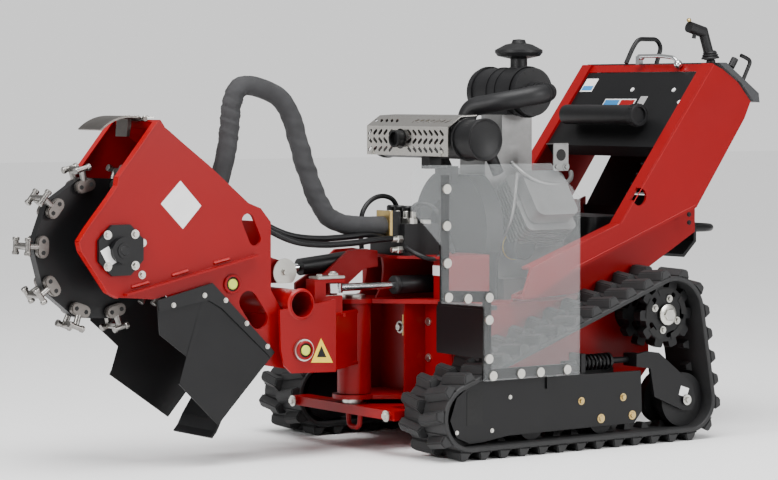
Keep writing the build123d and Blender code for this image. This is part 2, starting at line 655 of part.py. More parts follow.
with BuildPart() as muffler:
    bar(MUFFLER_X, MUFFLER_Z, MUFFLER_R, -250, 225)
    bar(MUFFLER_X, MUFFLER_Z, MUFFLER_R + 3, -250, -238)
    bar(MUFFLER_X, MUFFLER_Z, MUFFLER_R + 3, 213, 225)
    for y in (-120, 120):
        rod_between((MUFFLER_X + 40, y, MUFFLER_Z), (MUFFLER_X + 110, y, MUFFLER_Z - 20), 17)
        rod_between((MUFFLER_X + 104, y, MUFFLER_Z - 12), (MUFFLER_X + 150, y, 770), 17)
    rod_between((MUFFLER_X - 40, 60, MUFFLER_Z), (MUFFLER_X - 76, 60, MUFFLER_Z), 20)
    block(MUFFLER_X - 20, BLOCK_X0 - 85, -20, 20, MUFFLER_Z - 86, MUFFLER_Z - 79)
    block(MUFFLER_X - 20, MUFFLER_X + 20, -20, 20, MUFFLER_Z - 86, MUFFLER_Z - 40)
finish(muffler, "muffler")

with BuildPart() as heat_shield:
    with BuildSketch(across(230)):
        with Locations((MUFFLER_X, MUFFLER_Z)):
            Circle(MUFFLER_R + 10)
            Circle(MUFFLER_R + 7, mode=Mode.SUBTRACT)
            with Locations((MUFFLER_R + 16, 0)):
                Rectangle(120, 200, mode=Mode.SUBTRACT)
    extrude(amount=400)
    for y in (-120, 180):
        block(MUFFLER_X - MUFFLER_R - 8, MUFFLER_X - MUFFLER_R + 2, y, y + 12, MUFFLER_Z - 6, MUFFLER_Z + 6)
    bar(MUFFLER_X, MUFFLER_Z, MUFFLER_R, -250, 225, Mode.SUBTRACT)
    with BuildSketch(Plane.YZ.offset(MUFFLER_X - 90)):
        with Locations((60, MUFFLER_Z)):
            Circle(23)
    extrude(amount=60, mode=Mode.SUBTRACT)
    block(MUFFLER_X - 24, MUFFLER_X + 24, -24, 24, MUFFLER_Z - 90, MUFFLER_Z - 40, Mode.SUBTRACT)
finish(heat_shield, "heat_shield")

with BuildPart() as air_cleaner:
    bar(CLEANER_X, CLEANER_Z, CLEANER_R, -CLEANER_HALF, CLEANER_HALF)
    for y in (-CLEANER_HALF + 22, -20, 20, CLEANER_HALF - 28):
        bar(CLEANER_X, CLEANER_Z, CLEANER_R + 2.5, y, y + 7)
    block(CLEANER_X - 55, CLEANER_X + 55, -60, 60, CLEANER_Z - CLEANER_R, CLEANER_Z)
    block(CLEANER_X - 70, CLEANER_X + 70, -70, 70, CLEANER_Z - CLEANER_R - 40, CLEANER_Z - CLEANER_R + 4,
          Mode.SUBTRACT)
    rod_between((-70, 0, CLEANER_Z + 50), (-70, 0, 1030 + 62), 25)
    bar(CLEANER_X, CLEANER_Z, 30, -CLEANER_HALF - 24, -CLEANER_HALF)
finish(air_cleaner, "air_cleaner")

with BuildPart() as rain_cap:
    with BuildSketch(Plane.XZ):
        with BuildLine():
            Polyline((-70, 1092), (-45, 1092), (-45, 1100), (-8, 1108), (0, 1118), (0, 1126), (-30, 1142), (-48, 1146),
                     (-52, 1156), (-70, 1158), close=True)
        make_face()
    revolve(axis=Axis((-70, 0, 0), (0, 0, 1)))
finish(rain_cap, "rain_cap")

HOSE_Y = -CLEANER_HALF - 24
with BuildPart() as intake_hose:
    hose_length, hose_bend = bent_tube(
        [(CLEANER_X, HOSE_Y, CLEANER_Z), (CLEANER_X, HOSE_Y - 50, CLEANER_Z),
         (CLEANER_X - 60, HOSE_Y - 78, 996), (CLEANER_X - 150, HOSE_Y - 40, 978),
         (CLEANER_X - 205, HOSE_Y + 60, 958), (CLEANER_X - 212, HOSE_Y + 72, 905)], 27)
    bar(MUFFLER_X, MUFFLER_Z, MUFFLER_R + 11, -250, 225, Mode.SUBTRACT)
finish(intake_hose, "intake_hose")
print("intake hose", round(hose_length), "tightest", round(hose_bend))

with BuildPart() as hydraulic_tank:
    block(40, 205, -200, 200, 441, 640)
    fillet(hydraulic_tank.edges().filter_by(Axis.Z), 25)
    post(120, 80, 32, 640, 662)
finish(hydraulic_tank, "hydraulic_tank")

VALVE_X0, VALVE_X1 = -560, -440
with BuildPart() as valve_block:
    block(VALVE_X0, VALVE_X1, -110, 60, TOWER_TOP + 8, 632)
    for y in (-80, -40, 0, 35):
        rod_between((VALVE_X0 + 60, y, 632), (VALVE_X0 + 60, y, 664), 13)
    block(VALVE_X0 - 28, VALVE_X0, -90, -30, 585, 668)
finish(valve_block, "valve_block")

# ------------------------------------------------------------------ swing post

with BuildPart() as swing_post:
    side_line = [(-1010, 414), (-1007, 305), (-996, 262), (-972, 240), (POST_REAR, 236), (POST_REAR, 436),
                 (-880, 427)]
    mirrored_slab(side_line, POST_HALF - POST_PLATE, POST_HALF)
    for side in (-1, 1):
        with BuildSketch(Plane.XY.offset(240)):
            with BuildLine():
                Polyline((POST_REAR - 8, side * POST_HALF), (POST_REAR, side * POST_HALF),
                         (SWING_X - 20, side * 44), (SWING_X - 34, side * 32),
                         (POST_REAR - 8, side * (POST_HALF - POST_PLATE)), close=True)
            make_face()
        extrude(amount=150)
    for z in (240, 382):
        flat_plate([(POST_REAR - 8, -POST_HALF + 2), (POST_REAR - 8, POST_HALF - 2), (SWING_X - 10, 40),
                    (SWING_X - 10, -40)], z, z + 8)
    post(SWING_X, 0, SWING_BARREL_R, LOWER_TOP + BARREL_CLEAR, UPPER_Z - BARREL_CLEAR)
    post(SWING_X, 0, SWING_PIN_R + RUN, LOWER_Z, UPPER_TOP, Mode.SUBTRACT)
    bar(TUBE_X, TUBE_Z, TUBE_R, -POST_HALF - 8, POST_HALF + 8)
    bar(TUBE_X, TUBE_Z, TUBE_BORE_R, -POST_HALF - 8, POST_HALF + 8, Mode.SUBTRACT)
    for side in (-1, 1):
        near, far = sorted((side * 28, side * 38))
        slab([(POST_REAR - 8, 382), (POST_REAR - 8, 470), (-780, 500), (-700, 560), (-640, 562), (-603, 556),
              (-601, 512), (-650, 506), (-740, 440), (-745, 382)], near, far)
    bar(LIFT_BASE_X, LIFT_BASE_Z, CYL_PIN_R, -38, 38)
    # bracket and pin for the swing cylinder's rod
    block(POST_REAR - 8, -770, SWING_CYL_Y - 22, SWING_CYL_Y + 22, 382, 392)
    block(POST_REAR - 8, -780, SWING_CYL_Y - 22, SWING_CYL_Y + 22, 392, SWING_CYL_Z - 20)
    block(POST_REAR - 45, -772, SWING_CYL_Y - 22, SWING_CYL_Y + 22, SWING_CYL_Z + 16, SWING_CYL_Z + 26)
    block(POST_REAR - 45, POST_REAR - 8, SWING_CYL_Y - 22, SWING_CYL_Y + 22, 420, SWING_CYL_Z + 26)
    post(SWING_ROD_X, SWING_CYL_Y, CYL_PIN_R, SWING_CYL_Z - 20, SWING_CYL_Z + 34)
    bar(LIFT_X, LIFT_Z, LIFT_PIN_R + RUN, -POST_HALF, POST_HALF, Mode.SUBTRACT)
finish(swing_post, "swing_post")

with BuildPart() as lift_pin:
    bar(LIFT_X, LIFT_Z, LIFT_PIN_R, -POST_HALF - 10, POST_HALF + 10)
    for side in (-1, 1):
        near, far = sorted((side * (POST_HALF + 1), side * (POST_HALF + 10)))
        bar(LIFT_X, LIFT_Z, 30, near, far)
finish(lift_pin, "lift_pin")

# ------------------------------------------------------------------ cutter head

HEAD_LINE = [(-1369, 924), (-1487, 779), (-1490, 757), (-1515, 725), (-1580, 648), (-1604, 615), (-1598, 590),
             (-1520, 480), (-1492, 466), (-1385, 457), (-1237, 488), (-1064, 299), (-1036, 262), (-960, 248),
             (-905, 262), (-882, 302), (-905, 345), (-968, 352), (-984, 411), (-1018, 467), (-1018, 651),
             (-1050, 689), (-1089, 704), (-1214, 808), (-1276, 854), (-1334, 899)]
HEAD_IN = HEAD_HALF - HEAD_PLATE
HUB_R = 52

with BuildPart() as head_frame:
    mirrored_slab(HEAD_LINE, HEAD_IN, HEAD_HALF)
    for near, far in ((HEAD_IN, HEAD_HALF), (-HEAD_HALF, -HEAD_IN)):
        with BuildSketch(across(far)):
            with Locations((-1074, 415)):
                SlotOverall(115, 58, rotation=-55)
            with Locations((-1080, 632)):
                SlotOverall(92, 38, rotation=-66)
            with Locations((WHEEL_X, WHEEL_Z)):
                Circle(HUB_R)
        extrude(amount=far - near, mode=Mode.SUBTRACT)
    # plates between the two sides: top cover, front edge and back
    slab([(-1369, 924), (-1363, 916), (-1209, 800), (-1214, 808)], -HEAD_HALF, HEAD_HALF)
    slab([(-1369, 924), (-1356, 906), (-1349, 911), (-1362, 929)], -HEAD_HALF, HEAD_HALF)
    slab([(-1018, 651), (-1026, 651), (-1026, 467), (-1018, 467)], -HEAD_HALF, HEAD_HALF)
    slab([(-1237, 488), (-1231, 481), (-1085, 322), (-1092, 330), (-1244, 496)], -HEAD_HALF, HEAD_HALF)
    # bright stiffening rail on each side plate
    for side in (-1, 1):
        near, far = sorted((side * HEAD_HALF, side * (HEAD_HALF + 20)))
        slab([(-1475, 470), (-1068, 558), (-1068, 564), (-1476, 476)], near, far)
    # lugs for the lift cylinder's rod
    for side in (-1, 1):
        near, far = sorted((side * 34, side * 44))
        slab([(-1020, 480), (-1020, 580), (-960, 548), (-900, 530), (-896, 500), (-915, 480), (-950, 478)], near, far)
    bar(LIFT_ROD_X, LIFT_ROD_Z, CYL_PIN_R, -54, 54)
    bar(LIFT_X, LIFT_Z, LIFT_PIN_R, -HEAD_HALF, HEAD_HALF, Mode.SUBTRACT)
    for side in (-1, 1):
        near, far = sorted((side * HEAD_HALF, side * (POST_HALF - POST_PLATE - 1)))
        bar(LIFT_X, LIFT_Z, 36, near, far)
        bar(LIFT_X, LIFT_Z, LIFT_PIN_R, near, far, Mode.SUBTRACT)
finish(head_frame, "head_frame")

NEAR_SKIRT = [(-1367, 455), (-1352, 368), (-1263, 292), (-1311, 233), (-1280, 204), (-1194, 127), (-1034, 284),
              (-1064, 322), (-1237, 500)]
FAR_SKIRT = [(-1430, 455), (-1430, 400), (-1306, 318), (-1346, 255), (-1170, 140), (-1034, 284), (-1064, 322),
             (-1237, 500)]
with BuildPart() as head_skirt:
    slab(NEAR_SKIRT, -HEAD_HALF - 6, -HEAD_HALF - 1)
    slab(FAR_SKIRT, HEAD_HALF + 1, HEAD_HALF + 6)
    slab([(-1072, 294), (-1194, 127), (-1189, 123), (-1066, 290)], -HEAD_HALF - 6, HEAD_HALF + 6)
finish(head_skirt, "head_skirt")

FLAP_X, FLAP_Z = -1377, 931
FLAP_HALF = 62
FLAP_THICK = 5
FLAP_MIDDLE, FLAP_TIP = (-1452, 934), (-1504, 904)
with BuildPart() as top_flap:
    with BuildSketch(across(FLAP_HALF)):
        with BuildLine():
            ThreePointArc((FLAP_X, FLAP_Z + FLAP_THICK / 2), FLAP_MIDDLE, FLAP_TIP)
            Line(FLAP_TIP, (FLAP_TIP[0] + 4, FLAP_TIP[1] - 3))
            ThreePointArc((FLAP_TIP[0] + 4, FLAP_TIP[1] - 3), (FLAP_MIDDLE[0], FLAP_MIDDLE[1] - FLAP_THICK),
                          (FLAP_X, FLAP_Z - FLAP_THICK / 2))
            Line((FLAP_X, FLAP_Z - FLAP_THICK / 2), (FLAP_X, FLAP_Z + FLAP_THICK / 2))
        make_face()
    extrude(amount=2 * FLAP_HALF)
    bar(FLAP_X, FLAP_Z, 6, -FLAP_HALF - 14, FLAP_HALF + 14)
    slab([(-1404, 931), (-1392, 931), (-1398, 884), (-1408, 884)], -30, 30)
finish(top_flap, "top_flap")

with BuildPart() as cutter_wheel:
    bar(WHEEL_X, WHEEL_Z, CUTTER_R, -CUTTER_THICK / 2, CUTTER_THICK / 2)
    with BuildSketch(across(CUTTER_THICK / 2)):
        with Locations((WHEEL_X, WHEEL_Z)):
            with PolarLocations(CUTTER_R + 5, TOOTH_COUNT, start_angle=TOOTH_START + 180 / TOOTH_COUNT):
                Rectangle(24, 110)
    extrude(amount=CUTTER_THICK, mode=Mode.SUBTRACT)
    bar(WHEEL_X, WHEEL_Z, 60, -40, 40)
    bar(WHEEL_X, WHEEL_Z, SHAFT_R, -HEAD_HALF - 8, HEAD_HALF + 20)
finish(cutter_wheel, "cutter_wheel")

with BuildPart() as tooth_clamps:
    for y_high in (CUTTER_THICK / 2 + 16, -CUTTER_THICK / 2):
        with BuildSketch(across(y_high)):
            with Locations((WHEEL_X, WHEEL_Z)):
                with PolarLocations(CLAMP_R, TOOTH_COUNT, start_angle=TOOTH_START):
                    SlotOverall(58, 32, rotation=90)
        extrude(amount=16)
finish(tooth_clamps, "tooth_clamps")

with BuildPart() as cutter_teeth:
    for index in range(TOOTH_COUNT):
        angle = radians(TOOTH_START + 360 / TOOTH_COUNT * index)
        out = (cos(angle), sin(angle))
        for side in (-1, 1):
            y = side * (CUTTER_THICK / 2 + 8)
            start = (WHEEL_X + (CLAMP_R + 16) * out[0], y, WHEEL_Z + (CLAMP_R + 16) * out[1])
            end = (WHEEL_X + (TOOTH_TIP_R - 10) * out[0], y, WHEEL_Z + (TOOTH_TIP_R - 10) * out[1])
            rod_between(start, end, 7)
            head = Vector(WHEEL_X + (TOOTH_TIP_R - 10) * out[0], side * 34, WHEEL_Z + (TOOTH_TIP_R - 10) * out[1])
            tangent = Vector(-out[1], 0, out[0]) * 22
            rod_between((head - tangent).to_tuple(), (head + tangent).to_tuple(), 9)
        low = (WHEEL_X + (TOOTH_TIP_R - 10) * out[0], -34, WHEEL_Z + (TOOTH_TIP_R - 10) * out[1])
        high = (low[0], 34, low[2])
        rod_between(low, high, 9.5)
    for y_high in (CUTTER_THICK / 2 + 16, -CUTTER_THICK / 2):
        with BuildSketch(across(y_high)):
            with Locations((WHEEL_X, WHEEL_Z)):
                with PolarLocations(CLAMP_R, TOOTH_COUNT, start_angle=TOOTH_START):
                    SlotOverall(58, 32, rotation=90)
        extrude(amount=16, mode=Mode.SUBTRACT)
    bar(WHEEL_X, WHEEL_Z, CUTTER_R, -CUTTER_THICK / 2, CUTTER_THICK / 2, Mode.SUBTRACT)
finish(cutter_teeth, "cutter_teeth")

with BuildPart() as bearing_housings:
    for side in (-1, 1):
        near, far = sorted((side * HEAD_HALF, side * (HEAD_HALF + 10)))
        with BuildSketch(across(far)):
            with Locations((WHEEL_X, WHEEL_Z)):
                RegularPolygon(72, 8, rotation=22.5)
        extrude(amount=10)
        near, far = sorted((side * (HEAD_IN - 12), side * HEAD_HALF))
        bar(WHEEL_X, WHEEL_Z, HUB_R - GAP, near, far)
        near, far = sorted((side * (HEAD_HALF + 9), side * (HEAD_HALF + 26)))
        bar(WHEEL_X, WHEEL_Z, 34, near, far)
    bar(WHEEL_X, WHEEL_Z, SHAFT_R + RUN, -HEAD_HALF - 10, HEAD_HALF + 22, Mode.SUBTRACT)
finish(bearing_housings, "bearing_housings")

MOTOR_Y = HEAD_HALF + 26
with BuildPart() as cutter_motor:
    bar(WHEEL_X, WHEEL_Z, 55, MOTOR_Y, MOTOR_Y + 18)
    bar(WHEEL_X, WHEEL_Z, 44, MOTOR_Y, MOTOR_Y + 95)
    block(WHEEL_X - 25, WHEEL_X + 25, MOTOR_Y + 40, MOTOR_Y + 85, WHEEL_Z + 30, WHEEL_Z + 62)
finish(cutter_motor, "cutter_motor")

# ------------------------------------------------------------------ cylinders

LIFT_LINE = Vector(LIFT_ROD_X - LIFT_BASE_X, 0, LIFT_ROD_Z - LIFT_BASE_Z)


def lift_spot(distance):
    """Point on the lift cylinder's axis this far from its base pin."""
    along = LIFT_LINE.normalized() * distance
    return (LIFT_BASE_X + along.X, 0, LIFT_BASE_Z + along.Z)


LIFT_GLAND = 218
with BuildPart() as lift_cylinder:
    bar(LIFT_BASE_X, LIFT_BASE_Z, 20, -20, 20)
    rod_between(lift_spot(16), lift_spot(LIFT_GLAND), LIFT_BARREL_R)
    rod_between(lift_spot(34), lift_spot(LIFT_GLAND - 12), LIFT_ROD_R + RUN, Mode.SUBTRACT)
    rod_between(lift_spot(LIFT_GLAND - 14), lift_spot(LIFT_GLAND + 1), LIFT_ROD_R + RUN, Mode.SUBTRACT)
    bar(LIFT_BASE_X, LIFT_BASE_Z, CYL_PIN_R + RUN, -20, 20, Mode.SUBTRACT)
finish(lift_cylinder, "lift_cylinder")

with BuildPart() as lift_rod:
    rod_between(lift_spot(38), lift_spot(LIFT_LINE.length - 20), LIFT_ROD_R)
    bar(LIFT_ROD_X, LIFT_ROD_Z, CYL_PIN_R + OPEN_PIVOT + 9, -14, 14)
    bar(LIFT_ROD_X, LIFT_ROD_Z, CYL_PIN_R + OPEN_PIVOT, -14, 14, Mode.SUBTRACT)
finish(lift_rod, "lift_rod")

SWING_GLAND_X = -579
with BuildPart() as swing_cylinder:
    post(SWING_BASE_X, SWING_CYL_Y, 20, SWING_CYL_Z - 16, SWING_CYL_Z + 14)
    rod_between((SWING_BASE_X - 14, SWING_CYL_Y, SWING_CYL_Z), (SWING_BASE_X - 40, SWING_CYL_Y, SWING_CYL_Z), 14)
    rod_between((SWING_BASE_X - 32, SWING_CYL_Y, SWING_CYL_Z), (SWING_GLAND_X, SWING_CYL_Y, SWING_CYL_Z), SWING_CYL_R)
    rod_between((SWING_BASE_X - 50, SWING_CYL_Y, SWING_CYL_Z), (SWING_GLAND_X - 2, SWING_CYL_Y, SWING_CYL_Z),
                SWING_ROD_R + RUN, Mode.SUBTRACT)
    post(SWING_BASE_X, SWING_CYL_Y, CYL_PIN_R + RUN, SWING_CYL_Z - 40, SWING_CYL_Z + 40, Mode.SUBTRACT)
finish(swing_cylinder, "swing_cylinder")

with BuildPart() as swing_rod:
    rod_between((SWING_ROD_X + 20, SWING_CYL_Y, SWING_CYL_Z), (SWING_BASE_X - 110, SWING_CYL_Y, SWING_CYL_Z), SWING_ROD_R)
    post(SWING_ROD_X, SWING_CYL_Y, CYL_PIN_R + OPEN_PIVOT + 8, SWING_CYL_Z - 13, SWING_CYL_Z + 13)
    post(SWING_ROD_X, SWING_CYL_Y, CYL_PIN_R + OPEN_PIVOT, SWING_CYL_Z - 13, SWING_CYL_Z + 13, Mode.SUBTRACT)
finish(swing_rod, "swing_rod")

# ------------------------------------------------------------------ hoses

BUNDLE_R = 26
BUNDLE_Y = -60
BUNDLE_REAR = [(VALVE_X0 - 28, -60, 627), (-640, -60, 627), (-716, -64, 630), (-786, -60, 650),
               (-822, -54, 712), (-850, -46, 790), (-872, -40, 868), (-894, -36, 946), (-936, -32, 1000),
               (-1000, -30, 1016)]
BUNDLE_FRONT = [(-1000, -30, 1016), (-1051.2, -28.4, 1028.8), (-1080, -26, 976), (-1084, -24, 900),
                (-1096, -22, 820), (-1120, -22, 750)]
with BuildPart() as hoses_rear:
    rear_length, rear_bend = bent_tube(BUNDLE_REAR, BUNDLE_R)
finish(hoses_rear, "hoses_rear")
with BuildPart() as hoses_front:
    front_length, front_bend = bent_tube(BUNDLE_FRONT, BUNDLE_R)
finish(hoses_front, "hoses_front")
print("hose bundle", round(rear_length), round(front_length), "tightest", round(rear_bend), round(front_bend))
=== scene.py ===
# %% [markdown]
# A tracked stump grinder, dressed up in Blender.
# The CAD model is the fixed frame: every piece made here is in metres, in the same place as the
# CAD part that it sits on. Most pieces ride on the same body; the springs, sleeves and head hoses ride on
# none.
# -X is the cutter, +X is the operator, and Z is up.

# %% Load the frame
import bpy
import bmesh
import math
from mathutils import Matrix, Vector


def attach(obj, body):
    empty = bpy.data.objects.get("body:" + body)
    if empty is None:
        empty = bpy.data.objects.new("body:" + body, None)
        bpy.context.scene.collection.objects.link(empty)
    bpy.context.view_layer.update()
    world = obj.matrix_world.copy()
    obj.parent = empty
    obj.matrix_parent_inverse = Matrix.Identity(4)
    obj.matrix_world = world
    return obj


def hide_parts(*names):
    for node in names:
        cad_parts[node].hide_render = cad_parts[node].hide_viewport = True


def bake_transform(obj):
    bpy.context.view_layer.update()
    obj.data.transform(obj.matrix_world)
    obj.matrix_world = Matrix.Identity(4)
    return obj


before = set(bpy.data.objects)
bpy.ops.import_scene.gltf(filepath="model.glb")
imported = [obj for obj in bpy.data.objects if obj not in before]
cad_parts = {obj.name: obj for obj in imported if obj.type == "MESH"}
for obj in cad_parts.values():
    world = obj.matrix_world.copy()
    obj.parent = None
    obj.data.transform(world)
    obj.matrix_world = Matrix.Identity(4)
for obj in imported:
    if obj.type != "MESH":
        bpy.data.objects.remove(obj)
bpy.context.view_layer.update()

# %% [markdown]
# The camera looks at the machine from its front left corner with a long lens.
# A long lens keeps the tracks nearly parallel, as a product shot does.

# %% Camera
camera_data = bpy.data.cameras.new("camera")
camera_data.lens = 126.95
camera_data.sensor_width = 36
camera = bpy.data.objects.new("camera", camera_data)
camera.location = (-5.036, -6.364, 0.9927)
camera.rotation_euler = (math.radians(90 - 3.015), 0, math.radians(-35.263))
bpy.context.scene.collection.objects.link(camera)
bpy.context.scene.camera = camera
print("camera lens", camera_data.lens)

# %% [markdown]
# A studio is a pale floor, a pale surround, and large soft lamps.
# One lamp hangs above, and two tall ones stand left and right of the camera, because gloss paint
# and rubber only show their shape when something bright is reflected in them. The surround looks
# bright behind the machine, but it lights the machine only a little, so that black stays black.

# %% Studio
def soft_lamp(name, place, aim, size, power):
    """Add a square soft lamp that points at a spot."""
    lamp = bpy.data.lights.new(name, "AREA")
    lamp.size = size
    lamp.energy = power
    holder = bpy.data.objects.new(name, lamp)
    holder.location = place
    holder.rotation_euler = (Vector(aim) - Vector(place)).to_track_quat("-Z", "Y").to_euler()
    bpy.context.scene.collection.objects.link(holder)


MIDDLE = (-0.4, 0, 0.5)
soft_lamp("lamp_above", (-0.8, -0.6, 4.2), MIDDLE, 3.2, 150)
soft_lamp("lamp_left", (-5.2, -0.8, 2.4), MIDDLE, 1.6, 190)
soft_lamp("lamp_right", (1.4, -4.6, 2.2), MIDDLE, 1.6, 150)

sun = bpy.data.lights.new("even_light", "SUN")
sun.energy = 2.6
sun.angle = math.radians(40)
sun_holder = bpy.data.objects.new("even_light", sun)
sun_holder.rotation_euler = (math.radians(20), math.radians(-12), 0)
bpy.context.scene.collection.objects.link(sun_holder)

world = bpy.data.worlds.new("studio")
world.use_nodes = True
world_nodes = world.node_tree.nodes
soft_light = world_nodes["Background"]
soft_light.inputs["Color"].default_value = (1, 1, 1, 1)
soft_light.inputs["Strength"].default_value = 0.40
backdrop = world_nodes.new("ShaderNodeBackground")
backdrop.inputs["Strength"].default_value = 1.35
either = world_nodes.new("ShaderNodeMixShader")
for source, target in ((world_nodes.new("ShaderNodeLightPath").outputs["Is Camera Ray"], either.inputs[0]),
                       (soft_light.outputs[0], either.inputs[1]), (backdrop.outputs[0], either.inputs[2]),
                       (either.outputs[0], world_nodes["World Output"].inputs["Surface"])):
    world.node_tree.links.new(source, target)
bpy.context.scene.world = world

# %% [markdown]
# Shader maths reads best as plain sums. The small class below wraps a node's output, so that
# `1 - mask * 0.4` adds the Math nodes by itself.

# %% Shader helpers
class Wire:
    """A node's output that can be added, multiplied and so on."""

    def __init__(self, graph, socket):
        self.graph = graph
        self.socket = socket

    def maths(self, operation, first, second=0.0):
        return self.graph.add("ShaderNodeMath", {"operation": operation}, {0: first, 1: second})[0]

    def __add__(self, other):
        return self.maths("ADD", self, other)

    __radd__ = __add__

    def __mul__(self, other):
        return self.maths("MULTIPLY", self, other)

    __rmul__ = __mul__

    def __sub__(self, other):
        return self.maths("SUBTRACT", self, other)

    def __rsub__(self, other):
        return self.maths("SUBTRACT", other, self)


class Graph:
    """The nodes of one material."""

    def __init__(self, name):
        self.material = bpy.data.materials.new(name)
        self.material.use_nodes = True
        self.tree = self.material.node_tree
        self.shader = self.tree.nodes["Principled BSDF"]

    def add(self, kind, settings=None, sockets=None):
        """Add one node: its settings first, then the values or wires of its sockets."""
        node = self.tree.nodes.new(kind)
        for key, value in (settings or {}).items():
            setattr(node, key, value)
        for key, value in (sockets or {}).items():
            self.put(node.inputs[key], value)
        return [Wire(self, socket) for socket in node.outputs]

    def put(self, socket, value):
        if isinstance(value, Wire):
            self.tree.links.new(value.socket, socket)
        else:
            socket.default_value = value

    def set(self, name, value):
        self.put(self.shader.inputs[name], value)

    def here(self):
        """The point on the object, in metres."""
        return self.add("ShaderNodeTexCoord")[3]

    def noise(self, scale, detail=3.0, roughness=0.55, vector=None):
        place = vector or self.here()
        sockets = {"Vector": place, "Scale": scale, "Detail": detail, "Roughness": roughness}
        return self.add("ShaderNodeTexNoise", {}, sockets)[0]

    def blend(self, mask, first, second):
        """Mix two colours by a mask from 0 to 1."""
        node = self.tree.nodes.new("ShaderNodeMix")
        node.data_type = "RGBA"
        self.put(node.inputs[0], mask)
        self.put(node.inputs[6], first)
        self.put(node.inputs[7], second)
        return Wire(self, node.outputs[2])

    def bump(self, height, strength, distance):
        sockets = {"Height": height, "Strength": strength, "Distance": distance}
        self.set("Normal", self.add("ShaderNodeBump", {}, sockets)[0])


def surface(name, light, dark, roughness, metallic=0.0, patch=6.0, grain=400.0, depth=0.0004, coat=0.0,
            spread=0.12,
            shine=0.5):
    """A finish with uneven colour, uneven gloss and a fine grain."""
    graph = Graph(name)
    cloudy = graph.noise(patch, 4.0)
    fine = graph.noise(grain, 2.0)
    graph.set("Base Color", graph.blend(cloudy, (*dark, 1), (*light, 1)))
    graph.set("Roughness", roughness - spread * 0.5 + spread * graph.noise(patch * 5, 3.0))
    graph.set("Metallic", metallic)
    graph.set("Coat Weight", coat)
    graph.set("Specular IOR Level", shine)
    graph.bump(fine, 0.35, depth)
    return graph.material

# %% [markdown]
# Red powder paint covers the frame. Powder paint is glossy but not quite flat: it has a faint
# orange-peel, so the bump is wide and shallow.

# %% Paints
RED = surface("red_paint", (0.235, 0.0, 0.002), (0.18, 0.0, 0.0012), 0.36, patch=3, grain=260, depth=0.0002,
              shine=0.22)
# Painted highlight: a lighter copy of the red paint for bent edges, welds and creases that catch the light.
# The red console label uses it too, as its own printed colour.
HIGHLIGHT_AND_LABEL_RED = surface("red_edge_paint", (0.30, 0.0, 0.0018), (0.24, 0.0, 0.0012), 0.32, patch=4, grain=260,
                     depth=0.0002, shine=0.3)
BLACK = surface("black_paint", (0.005, 0.005, 0.0055), (0.0025, 0.0025, 0.003), 0.40, patch=5, grain=300,
                depth=0.0002, shine=0.28)
CAST_BLACK = surface("black_casting", (0.008, 0.008, 0.0085), (0.0035, 0.0035, 0.004), 0.48, patch=9,
                     grain=380, depth=0.0007, shine=0.28)

# %% [markdown]
# The plastics are moulded with a fine sandy texture, so they scatter light and look dark grey.

# %% Plastics and rubber
PLASTIC = surface("moulded_plastic", (0.010, 0.010, 0.011), (0.005, 0.005, 0.0055), 0.48, patch=12,
                  grain=900, depth=0.0003, shine=0.3)
DECK = surface("deck_plastic", (0.032, 0.034, 0.037), (0.022, 0.023, 0.025), 0.55, patch=12, grain=700,
               depth=0.0004)
TRACK = surface("track_rubber", (0.020, 0.020, 0.0205), (0.007, 0.007, 0.0075), 0.60, patch=14, grain=240,
                depth=0.0009, shine=0.35)
SKIRT = surface("skirt_rubber", (0.009, 0.009, 0.0095), (0.004, 0.004, 0.0045), 0.46, patch=7, grain=500,
                depth=0.0003, shine=0.22)

# %% [markdown]
# Bare metals differ in colour, grain and gloss: zinc plate is pale and slightly patchy, cast
# alloy is coarse and grey, and chrome is a plain mirror with very faint marks.

# %% Metals
ZINC = surface("zinc_plate", (0.66, 0.65, 0.60), (0.48, 0.47, 0.44), 0.32, 1.0, patch=30, grain=500,
               depth=0.0002)
CHROME = surface("chrome_rod", (0.78, 0.79, 0.80), (0.68, 0.69, 0.70), 0.12, 1.0, patch=20, grain=800,
                 depth=0.00005, spread=0.06)
ALLOY = surface("cast_alloy", (0.34, 0.34, 0.335), (0.16, 0.16, 0.158), 0.44, 0.85, patch=18, grain=420,
                depth=0.0008)
GUNMETAL = surface("gunmetal", (0.21, 0.195, 0.18), (0.10, 0.09, 0.085), 0.42, 1.0, patch=26, grain=420,
                   depth=0.0005)
CARBIDE = surface("carbide", (0.32, 0.31, 0.29), (0.15, 0.14, 0.135), 0.34, 1.0, patch=40, grain=500,
                  depth=0.0003)
GOLD = surface("yellow_zinc", (0.62, 0.47, 0.20), (0.48, 0.34, 0.14), 0.34, 1.0, patch=30, grain=500,
               depth=0.0002)
STAINLESS = surface("stainless", (0.74, 0.72, 0.68), (0.60, 0.57, 0.53), 0.24, 1.0, patch=9, grain=700,
                    depth=0.0001)

# %% Small colours
LIME = surface("lime_cap", (0.62, 0.68, 0.06), (0.50, 0.56, 0.04), 0.35, patch=40, grain=600, depth=0.0001)
WHITE = surface("white_label", (0.80, 0.80, 0.79), (0.70, 0.70, 0.70), 0.42, patch=20, grain=600,
                depth=0.0001)
YELLOW = surface("yellow_label", (0.85, 0.62, 0.03), (0.78, 0.55, 0.02), 0.40, patch=20, grain=600,
                 depth=0.0001)
BLUE = surface("blue_label", (0.03, 0.22, 0.50), (0.02, 0.17, 0.42), 0.40, patch=20, grain=600,
               depth=0.0001)
SILVER_LABEL = surface("silver_label", (0.62, 0.62, 0.62), (0.5, 0.5, 0.5), 0.35, 0.6, patch=30, grain=600,
                       depth=0.0001)
# Painted shade: a flat near-black laid over holes, gaps, windows and screw sockets, where only shade would
# be.
SHADOW = surface("dark_inside", (0.006, 0.006, 0.006), (0.003, 0.003, 0.003), 0.8, patch=20, grain=300,
                 depth=0.0002)

# %% [markdown]
# The side shield is a clear sheet of polycarbonate. It is seen by its pale haze and its
# reflections, so it is mostly see-through with a smooth glossy face.

